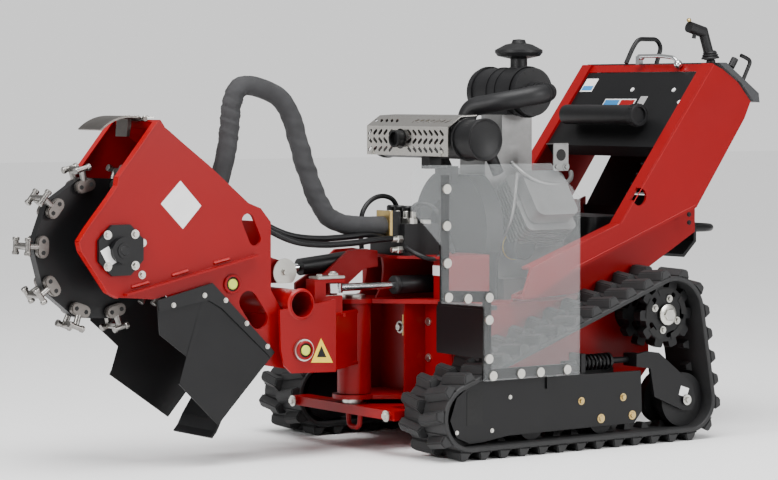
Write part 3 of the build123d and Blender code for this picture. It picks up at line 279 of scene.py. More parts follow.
# %% Clear sheet
clear = Graph("clear_sheet")
clear.set("Base Color", clear.blend(clear.noise(3, 2.0), (0.42, 0.44, 0.45, 1), (0.52, 0.54, 0.54, 1)))
clear.set("Roughness", 0.06 + 0.05 * clear.noise(30))
clear.set("Alpha", 0.11 + 0.04 * clear.noise(5))
CLEAR = clear.material

# %% Woven sleeve
sleeve = Graph("sleeve_fabric")
weave = sleeve.add("ShaderNodeTexWave", {"bands_direction": "Z"},
                   {"Vector": sleeve.here(), "Scale": 180.0, "Distortion": 2.0})[1]
cross_weave = sleeve.add("ShaderNodeTexWave", {"bands_direction": "X"},
                         {"Vector": sleeve.here(), "Scale": 180.0, "Distortion": 2.0})[1]
sleeve.set("Base Color", sleeve.blend(sleeve.noise(16), (0.012, 0.012, 0.013, 1), (0.040, 0.040, 0.043, 1)))
sleeve.set("Roughness", 0.62 + 0.2 * sleeve.noise(60))
sleeve.bump(weave * cross_weave + sleeve.noise(22) * 1.6, 0.6, 0.0022)
SLEEVE = sleeve.material

# %% [markdown]
# Each CAD part keeps its own shape and gets its finish here.

# %% Finishes of the CAD parts
FINISHES = {
    RED: ["main_frame", "lower_beam", "side_arms", "console_hood", "swing_post", "head_frame"],
    BLACK: ["console_panel", "rear_guard", "hand_rail", "front_bracket", "hydraulic_tank", "track_frames",
            "bearing_housings", "cutter_wheel", "lift_cylinder", "swing_cylinder", "drive_lever",
            "tension_arm_left", "tension_arm_right", "tension_springs"],
    PLASTIC: ["document_tube", "blower_housing", "air_cleaner", "rain_cap", "intake_hose", "joystick",
              "joystick_trigger", "choke_knob"],
    DECK: ["control_deck"],
    CLEAR: ["shield"],
    ZINC: ["swing_pin", "lift_pin", "shield_fasteners"],
    STAINLESS: ["heat_shield"],
    CHROME: ["lift_rod", "swing_rod", "throttle_lever"],
    ALLOY: ["engine"],
    CAST_BLACK: ["muffler", "valve_block", "drive_motors", "cutter_motor", "sprocket_left",
                 "sprocket_right",
                 "front_idler_left", "front_idler_right", "rear_roller_left", "rear_roller_right",
                 "road_wheel_left_1", "road_wheel_left_2", "road_wheel_right_1", "road_wheel_right_2"],
    GUNMETAL: ["tooth_clamps", "top_flap"],
    CARBIDE: ["cutter_teeth"],
    TRACK: ["track_belt_left", "track_belt_right"],
    SKIRT: ["head_skirt"],
    SLEEVE: ["hoses_rear", "hoses_front"],
}
for material, nodes in FINISHES.items():
    for node in nodes:
        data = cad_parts[node].data
        data.materials.clear()
        data.materials.append(material)
print("finished", sum(len(nodes) for nodes in FINISHES.values()), "CAD parts")

# %% [markdown]
# The floor is one large pale plane. It isn't part of the machine.

# %% Floor
floor_mesh = bpy.data.meshes.new("floor")
floor_mesh.from_pydata([(-30, -30, 0), (30, -30, 0), (30, 30, 0), (-30, 30, 0)], [], [(0, 1, 2, 3)])
floor = bpy.data.objects.new("floor", floor_mesh)
bpy.context.scene.collection.objects.link(floor)
FLOOR = surface("studio_floor", (0.94, 0.94, 0.94), (0.92, 0.92, 0.92), 0.6, patch=1, grain=40,
                depth=0.0001)
floor_mesh.materials.append(FLOOR)

# %% [markdown]
# Most pieces below are small solids: folded plates, turned parts and tubes. Three helpers make
# them from numbers in millimetres. Boxes and plates can take a small bevel, because a real edge
# always catches a thin line of light.

# %% Shape helpers
MM = 0.001


def prism(work, outline, push, edge=0.0):
    """Add a solid: an outline of points, pushed along a vector."""
    low = [work.verts.new(Vector(point) * MM) for point in outline]
    high = [work.verts.new((Vector(point) + Vector(push)) * MM) for point in outline]
    faces = [work.faces.new(low[::-1]), work.faces.new(high)]
    for index, corner in enumerate(low):
        after = (index + 1) % len(low)
        faces.append(work.faces.new((corner, low[after], high[after], high[index])))
    if edge:
        bmesh.ops.recalc_face_normals(work, faces=faces)
        edges = list({side for face in faces for side in face.edges})
        bmesh.ops.bevel(work, geom=edges, offset=edge * MM, segments=2, affect="EDGES", clamp_overlap=True)


def side_plate(work, outline, y_low, y_high, edge=0.0):
    """Add a plate that stands along the machine, from (x, z) points."""
    prism(work, [(x, y_low, z) for x, z in outline], (0, y_high - y_low, 0), edge)


def box(work, x, y, z, edge=1.0):
    """Add a box between pairs of limits."""
    outline = [(x[0], y[0], z[0]), (x[1], y[0], z[0]), (x[1], y[1], z[0]), (x[0], y[1], z[0])]
    prism(work, outline, (0, 0, z[1] - z[0]), edge)


def turned(work, profile, centre, axis, steps=28):
    """Add a turned part: (radius, distance) points swept round an axis."""
    turn = Vector(axis).to_track_quat("Z", "Y").to_matrix()
    rings = []
    for radius, along in profile:
        count = steps if radius else 1
        angles = [2 * math.pi * index / count for index in range(count)]
        spots = [Vector((radius * math.cos(a), radius * math.sin(a), along)) for a in angles]
        rings.append([work.verts.new((Vector(centre) + turn @ spot) * MM) for spot in spots])
    for ring, after in zip(rings, rings[1:]):
        for index in range(steps):
            near, far = index, (index + 1) % steps
            corners = [ring[near % len(ring)], ring[far % len(ring)], after[far % len(after)],
                       after[near % len(after)]]
            corners = list(dict.fromkeys(corners))
            if len(corners) > 2:
                work.faces.new(corners)


def rod(work, start, end, radius, edge=1.0, steps=28):
    """Add a round bar with chamfered ends."""
    line = Vector(end) - Vector(start)
    length = line.length
    profile = [(0, 0), (radius - edge, 0), (radius, edge), (radius, length - edge), (radius - edge, length),
               (0, length)]
    turned(work, profile, start, line, steps)


def show(name, data, body, material):
    """Make a piece from a mesh: smooth its curves, give it a finish and a body to ride on."""
    data.shade_smooth()
    data.set_sharp_from_angle(angle=math.radians(32))
    data.materials.clear()
    data.materials.append(material)
    made = bpy.data.objects.new(name, data)
    bpy.context.scene.collection.objects.link(made)
    if body:
        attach(made, body)
    print(name, len(data.polygons), "faces")
    return made


def piece(name, work, body, material):
    """Close a bmesh and show it."""
    bmesh.ops.recalc_face_normals(work, faces=work.faces)
    data = bpy.data.meshes.new(name)
    work.to_mesh(data)
    work.free()
    return show(name, data, body, material)


def shape_object(name, work):
    """A plain object from a bmesh, for a tree or a boolean to work on."""
    bmesh.ops.recalc_face_normals(work, faces=work.faces)
    data = bpy.data.meshes.new(name)
    work.to_mesh(data)
    work.free()
    made = bpy.data.objects.new(name, data)
    bpy.context.scene.collection.objects.link(made)
    return made


def baked(holder, name):
    """The plain mesh of an object with its modifiers or curve worked out."""
    bpy.context.view_layer.update()
    evaluated = holder.evaluated_get(bpy.context.evaluated_depsgraph_get())
    data = bpy.data.meshes.new_from_object(evaluated)
    data.name = name
    bpy.data.objects.remove(holder)
    return data

# %% [markdown]
# Bolts repeat all over the machine, so one Geometry Nodes tree makes them. It puts a washer and
# a head on every point of a small mesh, turned to face along the point's own direction.
# The tree has named inputs, so that the same tree makes hexagon heads and round heads.

# %% Bolt tree
def tree_inputs(tree, inputs):
    """Give a node tree its named inputs and its geometry output."""
    for name, kind, value in inputs:
        socket = tree.interface.new_socket(name, in_out="INPUT", socket_type=kind)
        if value is not None:
            socket.default_value = value
    tree.interface.new_socket("Geometry", in_out="OUTPUT", socket_type="NodeSocketGeometry")


def tree_node(tree, kind, settings=None, sockets=None):
    """Add one geometry node: settings first, then values or links by socket name."""
    node = tree.nodes.new(kind)
    for key, value in (settings or {}).items():
        setattr(node, key, value)
    for key, value in (sockets or {}).items():
        if isinstance(value, bpy.types.NodeSocket):
            tree.links.new(value, node.inputs[key])
        else:
            node.inputs[key].default_value = value
    return node


bolt_tree = bpy.data.node_groups.new("bolts_on_points", "GeometryNodeTree")
tree_inputs(bolt_tree, [("Geometry", "NodeSocketGeometry", None), ("Sides", "NodeSocketInt", 6),
                        ("Head radius", "NodeSocketFloat", 0.008),
                        ("Head height", "NodeSocketFloat", 0.006),
                        ("Washer radius", "NodeSocketFloat", 0.012),
                        ("Finish", "NodeSocketMaterial", None)])
given = bolt_tree.nodes.new("NodeGroupInput").outputs
top_radius = tree_node(bolt_tree, "ShaderNodeMath", {"operation": "MULTIPLY"},
                        {0: given["Head radius"], 1: 0.8})
head = tree_node(bolt_tree, "GeometryNodeMeshCone", {},
                 {"Vertices": given["Sides"], "Radius Top": top_radius.outputs[0],
                  "Radius Bottom": given["Head radius"], "Depth": given["Head height"]})
washer = tree_node(bolt_tree, "GeometryNodeMeshCylinder", {},
                   {"Vertices": 20, "Radius": given["Washer radius"], "Depth": 0.003})
both = bolt_tree.nodes.new("GeometryNodeJoinGeometry")
bolt_tree.links.new(head.outputs["Mesh"], both.inputs[0])
bolt_tree.links.new(washer.outputs["Mesh"], both.inputs[0])
facing = tree_node(bolt_tree, "GeometryNodeInputNamedAttribute", {"data_type": "FLOAT_VECTOR"},
                   {"Name": "facing"})
turned_to = tree_node(bolt_tree, "FunctionNodeAlignRotationToVector", {"axis": "Z"},
                      {"Vector": facing.outputs["Attribute"]})
copies = tree_node(bolt_tree, "GeometryNodeInstanceOnPoints", {},
                   {"Points": given["Geometry"], "Instance": both.outputs[0],
                    "Rotation": turned_to.outputs[0]})
real = tree_node(bolt_tree, "GeometryNodeRealizeInstances", {}, {"Geometry": copies.outputs[0]})
painted = tree_node(bolt_tree, "GeometryNodeSetMaterial", {},
                    {"Geometry": real.outputs[0], "Material": given["Finish"]})
bolt_tree.links.new(painted.outputs[0], bolt_tree.nodes.new("NodeGroupOutput").inputs[0])


def run_tree(tree, holder, values):
    """Put a tree on an object, set its inputs by identifier, and return the plain mesh."""
    modifier = holder.modifiers.new("nodes", "NODES")
    modifier.node_group = tree
    for item in tree.interface.items_tree:
        if item.in_out == "INPUT" and item.name in values:
            modifier[item.identifier] = values[item.name]
    return baked(holder, holder.name)


def bolts(name, places, facing_way, body, material, sides=6, head_radius=8.0, height=6.0, washer=11.0):
    """Add a bolt at each place, all facing one way."""
    points = bpy.data.meshes.new(name)
    points.from_pydata([tuple(Vector(place) * MM) for place in places], [], [])
    way = points.attributes.new("facing", "FLOAT_VECTOR", "POINT")
    way.data.foreach_set("vector", list(facing_way) * len(places))
    holder = bpy.data.objects.new(name, points)
    bpy.context.scene.collection.objects.link(holder)
    values = {"Sides": sides, "Head radius": head_radius * MM, "Head height": height * MM,
              "Washer radius": washer * MM, "Finish": material}
    return show(name, run_tree(bolt_tree, holder, values), body, material)


NEAR = (0, -1, 0)
FORWARD = (-1, 0, 0)
UP = (0, 0, 1)

# %% [markdown]
# The head's side plates are bent inwards along their front edge, which stiffens them. The bent strip
# is drawn in a lighter red than the plate, so its bright red border is a painted highlight. It is a thin
# strip that follows the plate's outline.

# %% Head edges
HEAD_FRONT = [(-1369, 924), (-1487, 779), (-1490, 757), (-1515, 725), (-1580, 648), (-1604, 615),
              (-1598, 590), (-1520, 480), (-1492, 466)]
HEAD_HALF = 128


def strip(work, line, y_low, y_high, thickness):
    """Add a band that follows a line of (x, z) points."""
    for (x0, z0), (x1, z1) in zip(line, line[1:]):
        along = Vector((x1 - x0, z1 - z0)).normalized()
        across = Vector((-along.y, along.x)) * thickness
        outline = [(x0, z0), (x1, z1), (x1 - across.x, z1 - across.y), (x0 - across.x, z0 - across.y)]
        side_plate(work, outline, y_low, y_high)


edges = bmesh.new()
for side in (-1, 1):
    low, high = sorted((side * (HEAD_HALF + 0.5), side * (HEAD_HALF - 24)))
    strip(edges, HEAD_FRONT, low, high, 2.5)
piece("head_edges", edges, "head", HIGHLIGHT_AND_LABEL_RED)

# %% Head welds and rail
# Painted highlight: the weld beads and rail bars are drawn in the lighter red.
welds = bmesh.new()
for start, end in (((-1452, 492), (-1400, 503)), ((-1330, 518), (-1280, 529)),
                   ((-1200, 546), (-1150, 556))):
    rod(welds, (start[0], -HEAD_HALF - 1, start[1]), (end[0], -HEAD_HALF - 1, end[1]), 5, 2, 12)
for x in (-1460, -1390, -1320, -1250, -1180, -1110):
    z = 474 + (x + 1475) * 0.216
    rod(welds, (x, -HEAD_HALF - 2, z - 4), (x + 34, -HEAD_HALF - 2, z + 3.3), 3.5, 1.5, 10)
piece("head_welds", welds, "head", HIGHLIGHT_AND_LABEL_RED)

# %% [markdown]
# A plastic cap closes each grease point. It sits in a short welded ring. The dark gap round it is a thin
# dark disc of painted shade.

# %% Grease caps
def cap(name, place, body):
    """Add a lime cap in a red ring."""
    ring = bmesh.new()
    turned(ring, [(19, 0), (26, 0), (26, 5), (24, 7), (20, 7), (19, 0)], place, NEAR)
    piece(name + "_ring", ring, body, RED)
    # Painted shade: a thin dark disc in the gap between ring and plug.
    dark = bmesh.new()
    turned(dark, [(0, 2), (19.2, 2), (19.2, 3), (0, 3)], place, NEAR)
    piece(name + "_gap", dark, body, SHADOW)
    plug = bmesh.new()
    turned(plug, [(0, 3), (14, 3), (14, 7), (11, 9), (0, 9)], place, NEAR)
    piece(name, plug, body, LIME)


cap("head_cap", (-1143, -HEAD_HALF, 488), "head")
cap("post_cap", (-937, -170, 302), "swing")

# %% Head bolts and hub
bolts("head_bolts", [(-1420, -HEAD_HALF, 523), (-1417, -HEAD_HALF, 607)], NEAR, "head", ZINC, height=8)
HUB_FACE = 138.5


def around(centre, radius, degrees):
    """The point (x, z) on a circle at an angle from +X."""
    angle = math.radians(degrees)
    return centre[0] + radius * math.cos(angle), centre[1] + radius * math.sin(angle)


hub = []
for degrees in (45, 135, 225, 315):
    x, z = around((-1487, 590), 58, degrees)
    hub.append((x, -HUB_FACE, z))
bolts("hub_bolts", hub, NEAR, "head", ZINC, head_radius=8.5, height=7, washer=12)
bolts("hub_screw", [(-1487, -155, 590)], NEAR, "head", CAST_BLACK, 12, 14, 5, 20)

# %% [markdown]
# The real machine carries printed labels. Here they are blank plates of about the same size,
# with no words on them.

# %% Labels
def label(name, corners, push, body, material):
    """Add a thin blank label."""
    work = bmesh.new()
    prism(work, corners, push, 0.2)
    return piece(name, work, body, material)


def near_label(name, outline, y, body, material):
    label(name, [(x, y, z) for x, z in outline], (0, -0.9, 0), body, material)


near_label("head_label", [(-1302, 768), (-1238, 700), (-1295, 640), (-1362, 708)], -HEAD_HALF, "head",
           WHITE)
near_label("hub_label", [(-1550, 590), (-1526, 602), (-1502, 560), (-1526, 548)], -HUB_FACE, "head", WHITE)
near_label("post_label", [(-877, 331), (-910, 266), (-838, 262)], -160, "swing", YELLOW)
near_label("post_label_centre", [(-876, 310), (-891, 280), (-860, 278)], -160.8, "swing", BLACK)
label("tower_label", [(-491, -150, 516), (-491, -192, 516), (-491, -192, 488), (-491, -150, 488)],
      (-0.9, 0, 0), "root", WHITE)
label("frame_plate", [(-491, -4, 368), (-491, -63, 368), (-491, -63, 308), (-491, -4, 308)], (-2, 0, 0),
      "root", GOLD)
near_label("tension_label_left", [(196, 158), (226, 148), (217, 122), (187, 132)], -422, "tension_arm_left",
           WHITE)

# %% [markdown]
# The cutter wheel carries ten stations. Each station is a pair of clamps, one on each face,
# with two socket screws, and a pair of teeth with round carbide heads. Each socket screw is a flat
# dark hexagon of painted shade.
# One station is modelled, and a Geometry Nodes tree turns copies of it round the wheel.

# %% Ring tree
ring_tree = bpy.data.node_groups.new("copies_in_a_ring", "GeometryNodeTree")
tree_inputs(ring_tree, [("Geometry", "NodeSocketGeometry", None), ("Copies", "NodeSocketInt", 12),
                        ("Start", "NodeSocketFloat", 0.0), ("Centre", "NodeSocketVector", None),
                        ("Finish", "NodeSocketMaterial", None)])
given = ring_tree.nodes.new("NodeGroupInput").outputs
spots = tree_node(ring_tree, "GeometryNodeMeshLine", {"mode": "OFFSET"},
                  {"Count": given["Copies"], "Offset": (0, 0, 0)})
number = ring_tree.nodes.new("GeometryNodeInputIndex")
step = tree_node(ring_tree, "ShaderNodeMath", {"operation": "DIVIDE"}, {0: 2 * math.pi, 1: given["Copies"]})
angle = tree_node(ring_tree, "ShaderNodeMath", {"operation": "MULTIPLY"},
                  {0: number.outputs[0], 1: step.outputs[0]})
turned_on = tree_node(ring_tree, "ShaderNodeMath", {"operation": "ADD"},
                      {0: angle.outputs[0], 1: given["Start"]})
spin = tree_node(ring_tree, "ShaderNodeCombineXYZ", {}, {"Y": turned_on.outputs[0]})
ring_copies = tree_node(ring_tree, "GeometryNodeInstanceOnPoints", {},
                        {"Points": spots.outputs[0], "Instance": given["Geometry"],
                         "Rotation": spin.outputs[0]})
ring_real = tree_node(ring_tree, "GeometryNodeRealizeInstances", {}, {"Geometry": ring_copies.outputs[0]})
ring_place = tree_node(ring_tree, "GeometryNodeTransform", {},
                       {"Geometry": ring_real.outputs[0], "Translation": given["Centre"]})
ring_paint = tree_node(ring_tree, "GeometryNodeSetMaterial", {},
                       {"Geometry": ring_place.outputs[0], "Material": given["Finish"]})
ring_tree.links.new(ring_paint.outputs[0], ring_tree.nodes.new("NodeGroupOutput").inputs[0])


def ring_of(name, work, copies, centre, body, material):
    """Turn copies of a shape, modelled about the origin, round a line along the machine's width."""
    holder = shape_object(name, work)
    values = {"Copies": copies, "Start": math.radians(3), "Centre": [v * MM for v in centre],
              "Finish": material}
    return show(name, run_tree(ring_tree, holder, values), body, material)

# %% Cutter stations
WHEEL = (-1487, 0, 590)
STATIONS = 10


def stadium(length, half, steps=9):
    """Outline of a slot shape along X, centred on the origin."""
    outline = []
    for end, turn in ((1, -90), (-1, 90)):
        for index in range(steps):
            angle = math.radians(turn + 180 * index / (steps - 1))
            outline.append((end * (length / 2 - half) + half * math.cos(angle), half * math.sin(angle)))
    return outline


clamps = bmesh.new()
sockets = bmesh.new()
teeth = bmesh.new()
for side in (-1, 1):
    face, outer = side * 15.2, side * 34
    outline = [(172 + z, face, x) for x, z in stadium(60, 17)]
    prism(clamps, outline, (0, outer - face, 0), 3)
    for along in (-15, 15):
        rod(sockets, (172, outer - side * 1, along), (172, outer + side * 0.8, along), 6.5, 0.5, 6)
    rod(teeth, (180, side * 25, 0), (218, side * 30, 0), 8.5, 2, 14)
    tangent_bar = [(0, -23), (8.2, -23), (9.4, -21.5), (9.4, -15), (7.4, -13), (7.4, 13), (9.4, 15),
                   (9.4, 21.5),
                   (8.2, 23), (0, 23)]
    turned(teeth, tangent_bar, (218, side * 34, 0), (0, 0, 1), 18)
rod(teeth, (217, -32, 0), (217, 32, 0), 7.5, 1, 14)
box(teeth, (207, 216), (-24, 24), (-9, 9), 2)
ring_of("tooth_clamp_set", clamps, STATIONS, WHEEL, "cutter", GUNMETAL)
# Painted shade: the socket screws are flat dark hexagons in the painted-shade finish.
ring_of("clamp_screws", sockets, STATIONS, WHEEL, "cutter", SHADOW)
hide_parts("tooth_clamps")
ring_of("tooth_set", teeth, STATIONS, WHEEL, "cutter", CARBIDE)
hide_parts("cutter_teeth")

# %% [markdown]
# Rubber curtains hang round the wheel to stop chips. The near curtain is held by a folded steel
# strip and five screws, and it is slit so that it can pass over the ground.

# %% Near curtain
NEAR_STRIP = [(-1379, 455), (-1209, 494), (-1012, 298), (-1026, 284), (-1180, 424), (-1222, 448),
              (-1375, 424)]
strap = bmesh.new()
side_plate(strap, NEAR_STRIP, -139, -134, 0.8)
piece("curtain_strip", strap, "head", BLACK)
bolts("curtain_screws", [(-1331, -139, 440), (-1235, -139, 462), (-1169, -139, 446), (-1103, -139, 381),
                         (-1037, -139, 315)],
      NEAR, "head", ZINC, 12, 6, 4, 7)


def curtain(name, outline, y, thickness, bulge, body="head"):
    """Add a rubber sheet on (x, z) points that bows outwards towards its free end."""
    work = bmesh.new()
    side_plate(work, outline, y, y + thickness)
    bmesh.ops.triangulate(work, faces=work.faces)
    bmesh.ops.subdivide_edges(work, edges=work.edges, cuts=3, use_grid_fill=True)
    for vertex in work.verts:
        drop = max(0.0, 0.46 - vertex.co.z) / 0.33
        vertex.co.y += bulge * MM * drop * drop
    piece(name, work, body, SKIRT)


near_flap_front = [(-1377, 452), (-1370, 363), (-1266, 284), (-1229, 316), (-1228, 488)]
near_flap_rear = [(-1228, 488), (-1227, 313), (-1314, 229), (-1197, 113), (-1026, 283), (-1200, 484)]
curtain("curtain_near_front", near_flap_front, -133.5, 4.5, -6)
curtain("curtain_near_rear", near_flap_rear, -133.8, 4.5, -9)
curtain("curtain_far_front", [(-1430, 455), (-1430, 385), (-1379, 342), (-1332, 300), (-1297, 331),
                              (-1297, 470)], 129, 5, 4)
curtain("curtain_far_rear", [(-1297, 470), (-1295, 328), (-1371, 236), (-1186, 108), (-1046, 270),
                             (-1068, 322), (-1237, 480)],
        129, 5, 6)
tail = bmesh.new()
tail_line = [(-1040, 284), (-1100, 220), (-1146, 166), (-1176, 122), (-1192, 92), (-1206, 76)]
strip(tail, tail_line, -128, 70, 5)
piece("curtain_tail", tail, "head", SKIRT)
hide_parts("head_skirt")

# %% Flap hinge
hinge = bmesh.new()
box(hinge, (-1388, -1346), (-70, 70), (933.5, 936.5), 1)
piece("flap_hinge_strip", hinge, "head", ZINC)
bolts("flap_bolts", [(-1360, -48, 936), (-1360, 0, 936), (-1360, 48, 936)], UP, "head", ZINC, 12, 7, 4, 9)

# %% [markdown]
# The swing post turns the whole head. Its cylinder pushes on a zinc clevis, and a zinc disc keeps
# the lift cylinder's pin in place.

# %% Clevis and pin disc
clevis = bmesh.new()
box(clevis, (-862, -772), (-124, -76), (489, 496), 1.5)
box(clevis, (-852, -786), (-118, -82), (437, 443), 1.5)
rod(clevis, (-796, -100, 430), (-796, -100, 508), 9.4, 1.5)
rod(clevis, (-796, -100, 496), (-796, -100, 503), 15, 1.5, 6)
rod(clevis, (-842, -100, 496), (-842, -100, 502), 9, 1.5, 6)
piece("swing_clevis", clevis, "swing", ZINC)

disc = bmesh.new()
disc_outline = [(38 * math.cos(a), 38 * math.sin(a)) for a in [math.radians(10 * i) for i in range(36)]]
side_plate(disc, [(-928 + x, 508 + max(z, -30)) for x, z in disc_outline], -60, -55, 1)
piece("pin_disc", disc, "head", ZINC)
bolts("pin_disc_bolt", [(-930, -60, 508)], NEAR, "head", ZINC, height=8, head_radius=9)

# %% Cylinder glands
glands = bmesh.new()
turned(glands, [(11.5, 0), (24, 0), (26.5, 2), (26.5, 12), (24, 15), (11.5, 15)], (-579, -100, 462),
       FORWARD)
piece("swing_gland", glands, "swing_barrel", CAST_BLACK)

# %% Post and frame bolts
bolts("front_bolts", [(-492, -129, 356), (-492, -129, 254)], FORWARD, "root", ZINC, 6, 9, 7, 12)
bolts("front_big_bolt", [(-492, 8, 331)], FORWARD, "root", ZINC, 6, 13, 9, 18)
bolts("beam_bolts", [(-712, 233, 113), (-712, -233, 113)], FORWARD, "root", ZINC, 6, 11, 9, 16)
bolts("post_bolts", [(-835, -130, 296), (-835, -130, 330)], FORWARD, "swing", RED, 12, 5, 3, 7)

# %% Post welds
# Painted highlight: the post's weld beads are drawn in the lighter red.
post_welds = bmesh.new()
for z in (248, 392):
    rod(post_welds, (-831, -150, z), (-681, -46, z), 3.5, 1.5, 8)
rod(post_welds, (-942 + 38, -161, 427), (-942 + 30, -161, 450), 3, 1, 8)
turned(post_welds, [(38.5, 0), (43.5, 0), (38.5, 5)], (-942, -160, 427), NEAR, 36)
piece("post_welds", post_welds, "swing", HIGHLIGHT_AND_LABEL_RED)

# %% [markdown]
# The rubber tracks are the machine's largest repeated thing. The band and its lugs are made from
# one path: the band is swept along it, and a Geometry Nodes tree places a lug at equal steps.
# The lugs alternate left and right and lean into each other, as a chevron tread does.

# %% Track path
SPROCKET = (150, 365)
TREAD_WHEELS = [(*SPROCKET, 98), (-576, 119, 81), (214, 116, 78)]
BELT_CENTRE = 355
FRAME_FACE = 420
SPROCKET_FACE = 408


def belt_points(extra, steps=26):
    """Points (x, z) of the tight loop round the three wheels."""
    loop = []
    count = len(TREAD_WHEELS)
    for index in range(count):
        before = TREAD_WHEELS[index - 1]
        here = TREAD_WHEELS[index]
        after = TREAD_WHEELS[(index + 1) % count]
        start = tangent_angle(before, here)
        end = tangent_angle(here, after)
        while end < start:
            end += 2 * math.pi
        for step_index in range(steps + 1):
            angle = start + (end - start) * step_index / steps
            loop.append((here[0] + (here[2] + extra) * math.cos(angle),
                         here[1] + (here[2] + extra) * math.sin(angle)))
    return loop


def tangent_angle(first, second):
    """The angle at which the outer tangent of two circles touches them both."""
    along = Vector((second[0] - first[0], second[1] - first[1]))
    lean = math.asin((first[2] - second[2]) / along.length)
    return math.atan2(along.y, along.x) - math.pi / 2 + lean


def even_steps(loop, count, shift=0.0):
    """Equal steps along a closed loop: place and direction of each."""
    lengths = [math.dist(a, b) for a, b in zip(loop, loop[1:] + loop[:1])]
    total = sum(lengths)
    found = []
    for number_along in range(count):
        target = (number_along + shift) * total / count % total
        for index, length in enumerate(lengths):
            if target <= length:
                break
            target -= length
        a, b = Vector(loop[index]), Vector(loop[(index + 1) % len(loop)])
        found.append((a.lerp(b, target / max(length, 1e-9)), (b - a).normalized()))
    return found

# %% Lug tree
lug_tree = bpy.data.node_groups.new("lugs_on_path", "GeometryNodeTree")
tree_inputs(lug_tree, [("Geometry", "NodeSocketGeometry", None), ("Lug", "NodeSocketObject", None),
                       ("Finish", "NodeSocketMaterial", None)])
given = lug_tree.nodes.new("NodeGroupInput").outputs
lug_shape = tree_node(lug_tree, "GeometryNodeObjectInfo", {}, {"Object": given["Lug"]})
lean = tree_node(lug_tree, "GeometryNodeInputNamedAttribute", {"data_type": "FLOAT_VECTOR"},
                 {"Name": "turn"})
lug_copies = tree_node(lug_tree, "GeometryNodeInstanceOnPoints", {},
                       {"Points": given["Geometry"], "Instance": lug_shape.outputs["Geometry"],
                        "Rotation": lean.outputs["Attribute"]})
lug_real = tree_node(lug_tree, "GeometryNodeRealizeInstances", {}, {"Geometry": lug_copies.outputs[0]})
lug_paint = tree_node(lug_tree, "GeometryNodeSetMaterial", {},
                      {"Geometry": lug_real.outputs[0], "Material": given["Finish"]})
lug_tree.links.new(lug_paint.outputs[0], lug_tree.nodes.new("NodeGroupOutput").inputs[0])


def rows_on_belt(name, shape, count, shift, centre_y, extra, material):
    """Place a shape, modelled with Z outwards and X along, at equal steps round a belt."""
    spots = even_steps(belt_points(extra), count, shift)
    data = bpy.data.meshes.new(name)
    data.from_pydata([(p.x * MM, centre_y * MM, p.y * MM) for p, _ in spots], [], [])
    way = data.attributes.new("turn", "FLOAT_VECTOR", "POINT")
    angles = [(0.0, math.pi - math.atan2(d.y, d.x), 0.0) for _, d in spots]
    way.data.foreach_set("vector", [value for angle in angles for value in angle])
    holder = bpy.data.objects.new(name, data)
    bpy.context.scene.collection.objects.link(holder)
    return run_tree(lug_tree, holder, {"Lug": shape, "Finish": material})

# %% Lug shapes
def lug(side):
    """One half-width lug, leaning back towards the belt's edge."""
    work = bmesh.new()
    base = [(-26, 2), (16, 2), (34, 94), (-8, 94)]
    top = [(-13, 5), (10, 5), (26, 90), (4, 90)]
    low = [work.verts.new(Vector((x, y * side, -1)) * MM) for x, y in base]
    high = [work.verts.new(Vector((x, y * side, 23.2)) * MM) for x, y in top]
    work.faces.new(low)
    work.faces.new(high)
    for index in range(4):
        after = (index + 1) % 4
        work.faces.new((low[index], low[after], high[after], high[index]))
    bmesh.ops.recalc_face_normals(work, faces=work.faces)
    bmesh.ops.bevel(work, geom=list(work.edges), offset=3 * MM, segments=2, affect="EDGES",
                    clamp_overlap=True)
    return shape_object("lug_shape", work)


def rib():
    """A thin raised line across the belt."""
    work = bmesh.new()
    box(work, (-2.5, 2.5), (-94, 94), (-1, 3), 1)
    return shape_object("rib_shape", work)


def guide_tooth():
    """The tapered tooth inside the belt that keeps the wheels in line."""
    work = bmesh.new()
    low = [work.verts.new(Vector((x, y, 1)) * MM) for x, y in ((-14, -20), (14, -20), (14, 20), (-14, 20))]
    high = [work.verts.new(Vector((x, y, -15.5)) * MM) for x, y in ((-6, -14), (6, -14), (6, 14), (-6, 14))]
    work.faces.new(low)
    work.faces.new(high)
    for index in range(4):
        after = (index + 1) % 4
        work.faces.new((low[index], low[after], high[after], high[index]))
    return shape_object("guide_shape", work)

# %% Tracks
def band(centre_y):
    """The plain belt: a closed band with rounded edges."""
    work = bmesh.new()
    section = [(-95, 3), (-92, 0), (92, 0), (95, 3), (95, 11), (91, 14), (-91, 14), (-95, 11)]
    rings = []
    loops = [belt_points(extra) for _, extra in section]
    for index in range(len(loops[0])):
        rings.append([work.verts.new(Vector((loops[k][index][0], centre_y + section[k][0],
                                             loops[k][index][1])) * MM)
                      for k in range(len(section))])
    for ring, after in zip(rings, rings[1:] + rings[:1]):
        for k in range(len(section)):
            m = (k + 1) % len(section)
            work.faces.new((ring[k], ring[m], after[m], after[k]))
    return work


left_lug, right_lug, thin_rib, tooth = lug(-1), lug(1), rib(), guide_tooth()
for word, side in (("left", -1), ("right", 1)):
    centre = side * BELT_CENTRE
    whole = band(centre)
    for shape, count, shift, extra in ((left_lug, 36, 0.0, 14), (right_lug, 36, 0.5, 14),
                                       (thin_rib, 72, 0.2, 14),
                                       (tooth, 36, 0.25, 0)):
        whole.from_mesh(rows_on_belt("rows", shape, count, shift, centre, extra, TRACK))
    made = piece("track_" + word, whole, "root", TRACK)
    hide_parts("track_belt_" + word)
for shape in (left_lug, right_lug, thin_rib, tooth):
    bpy.data.objects.remove(shape)
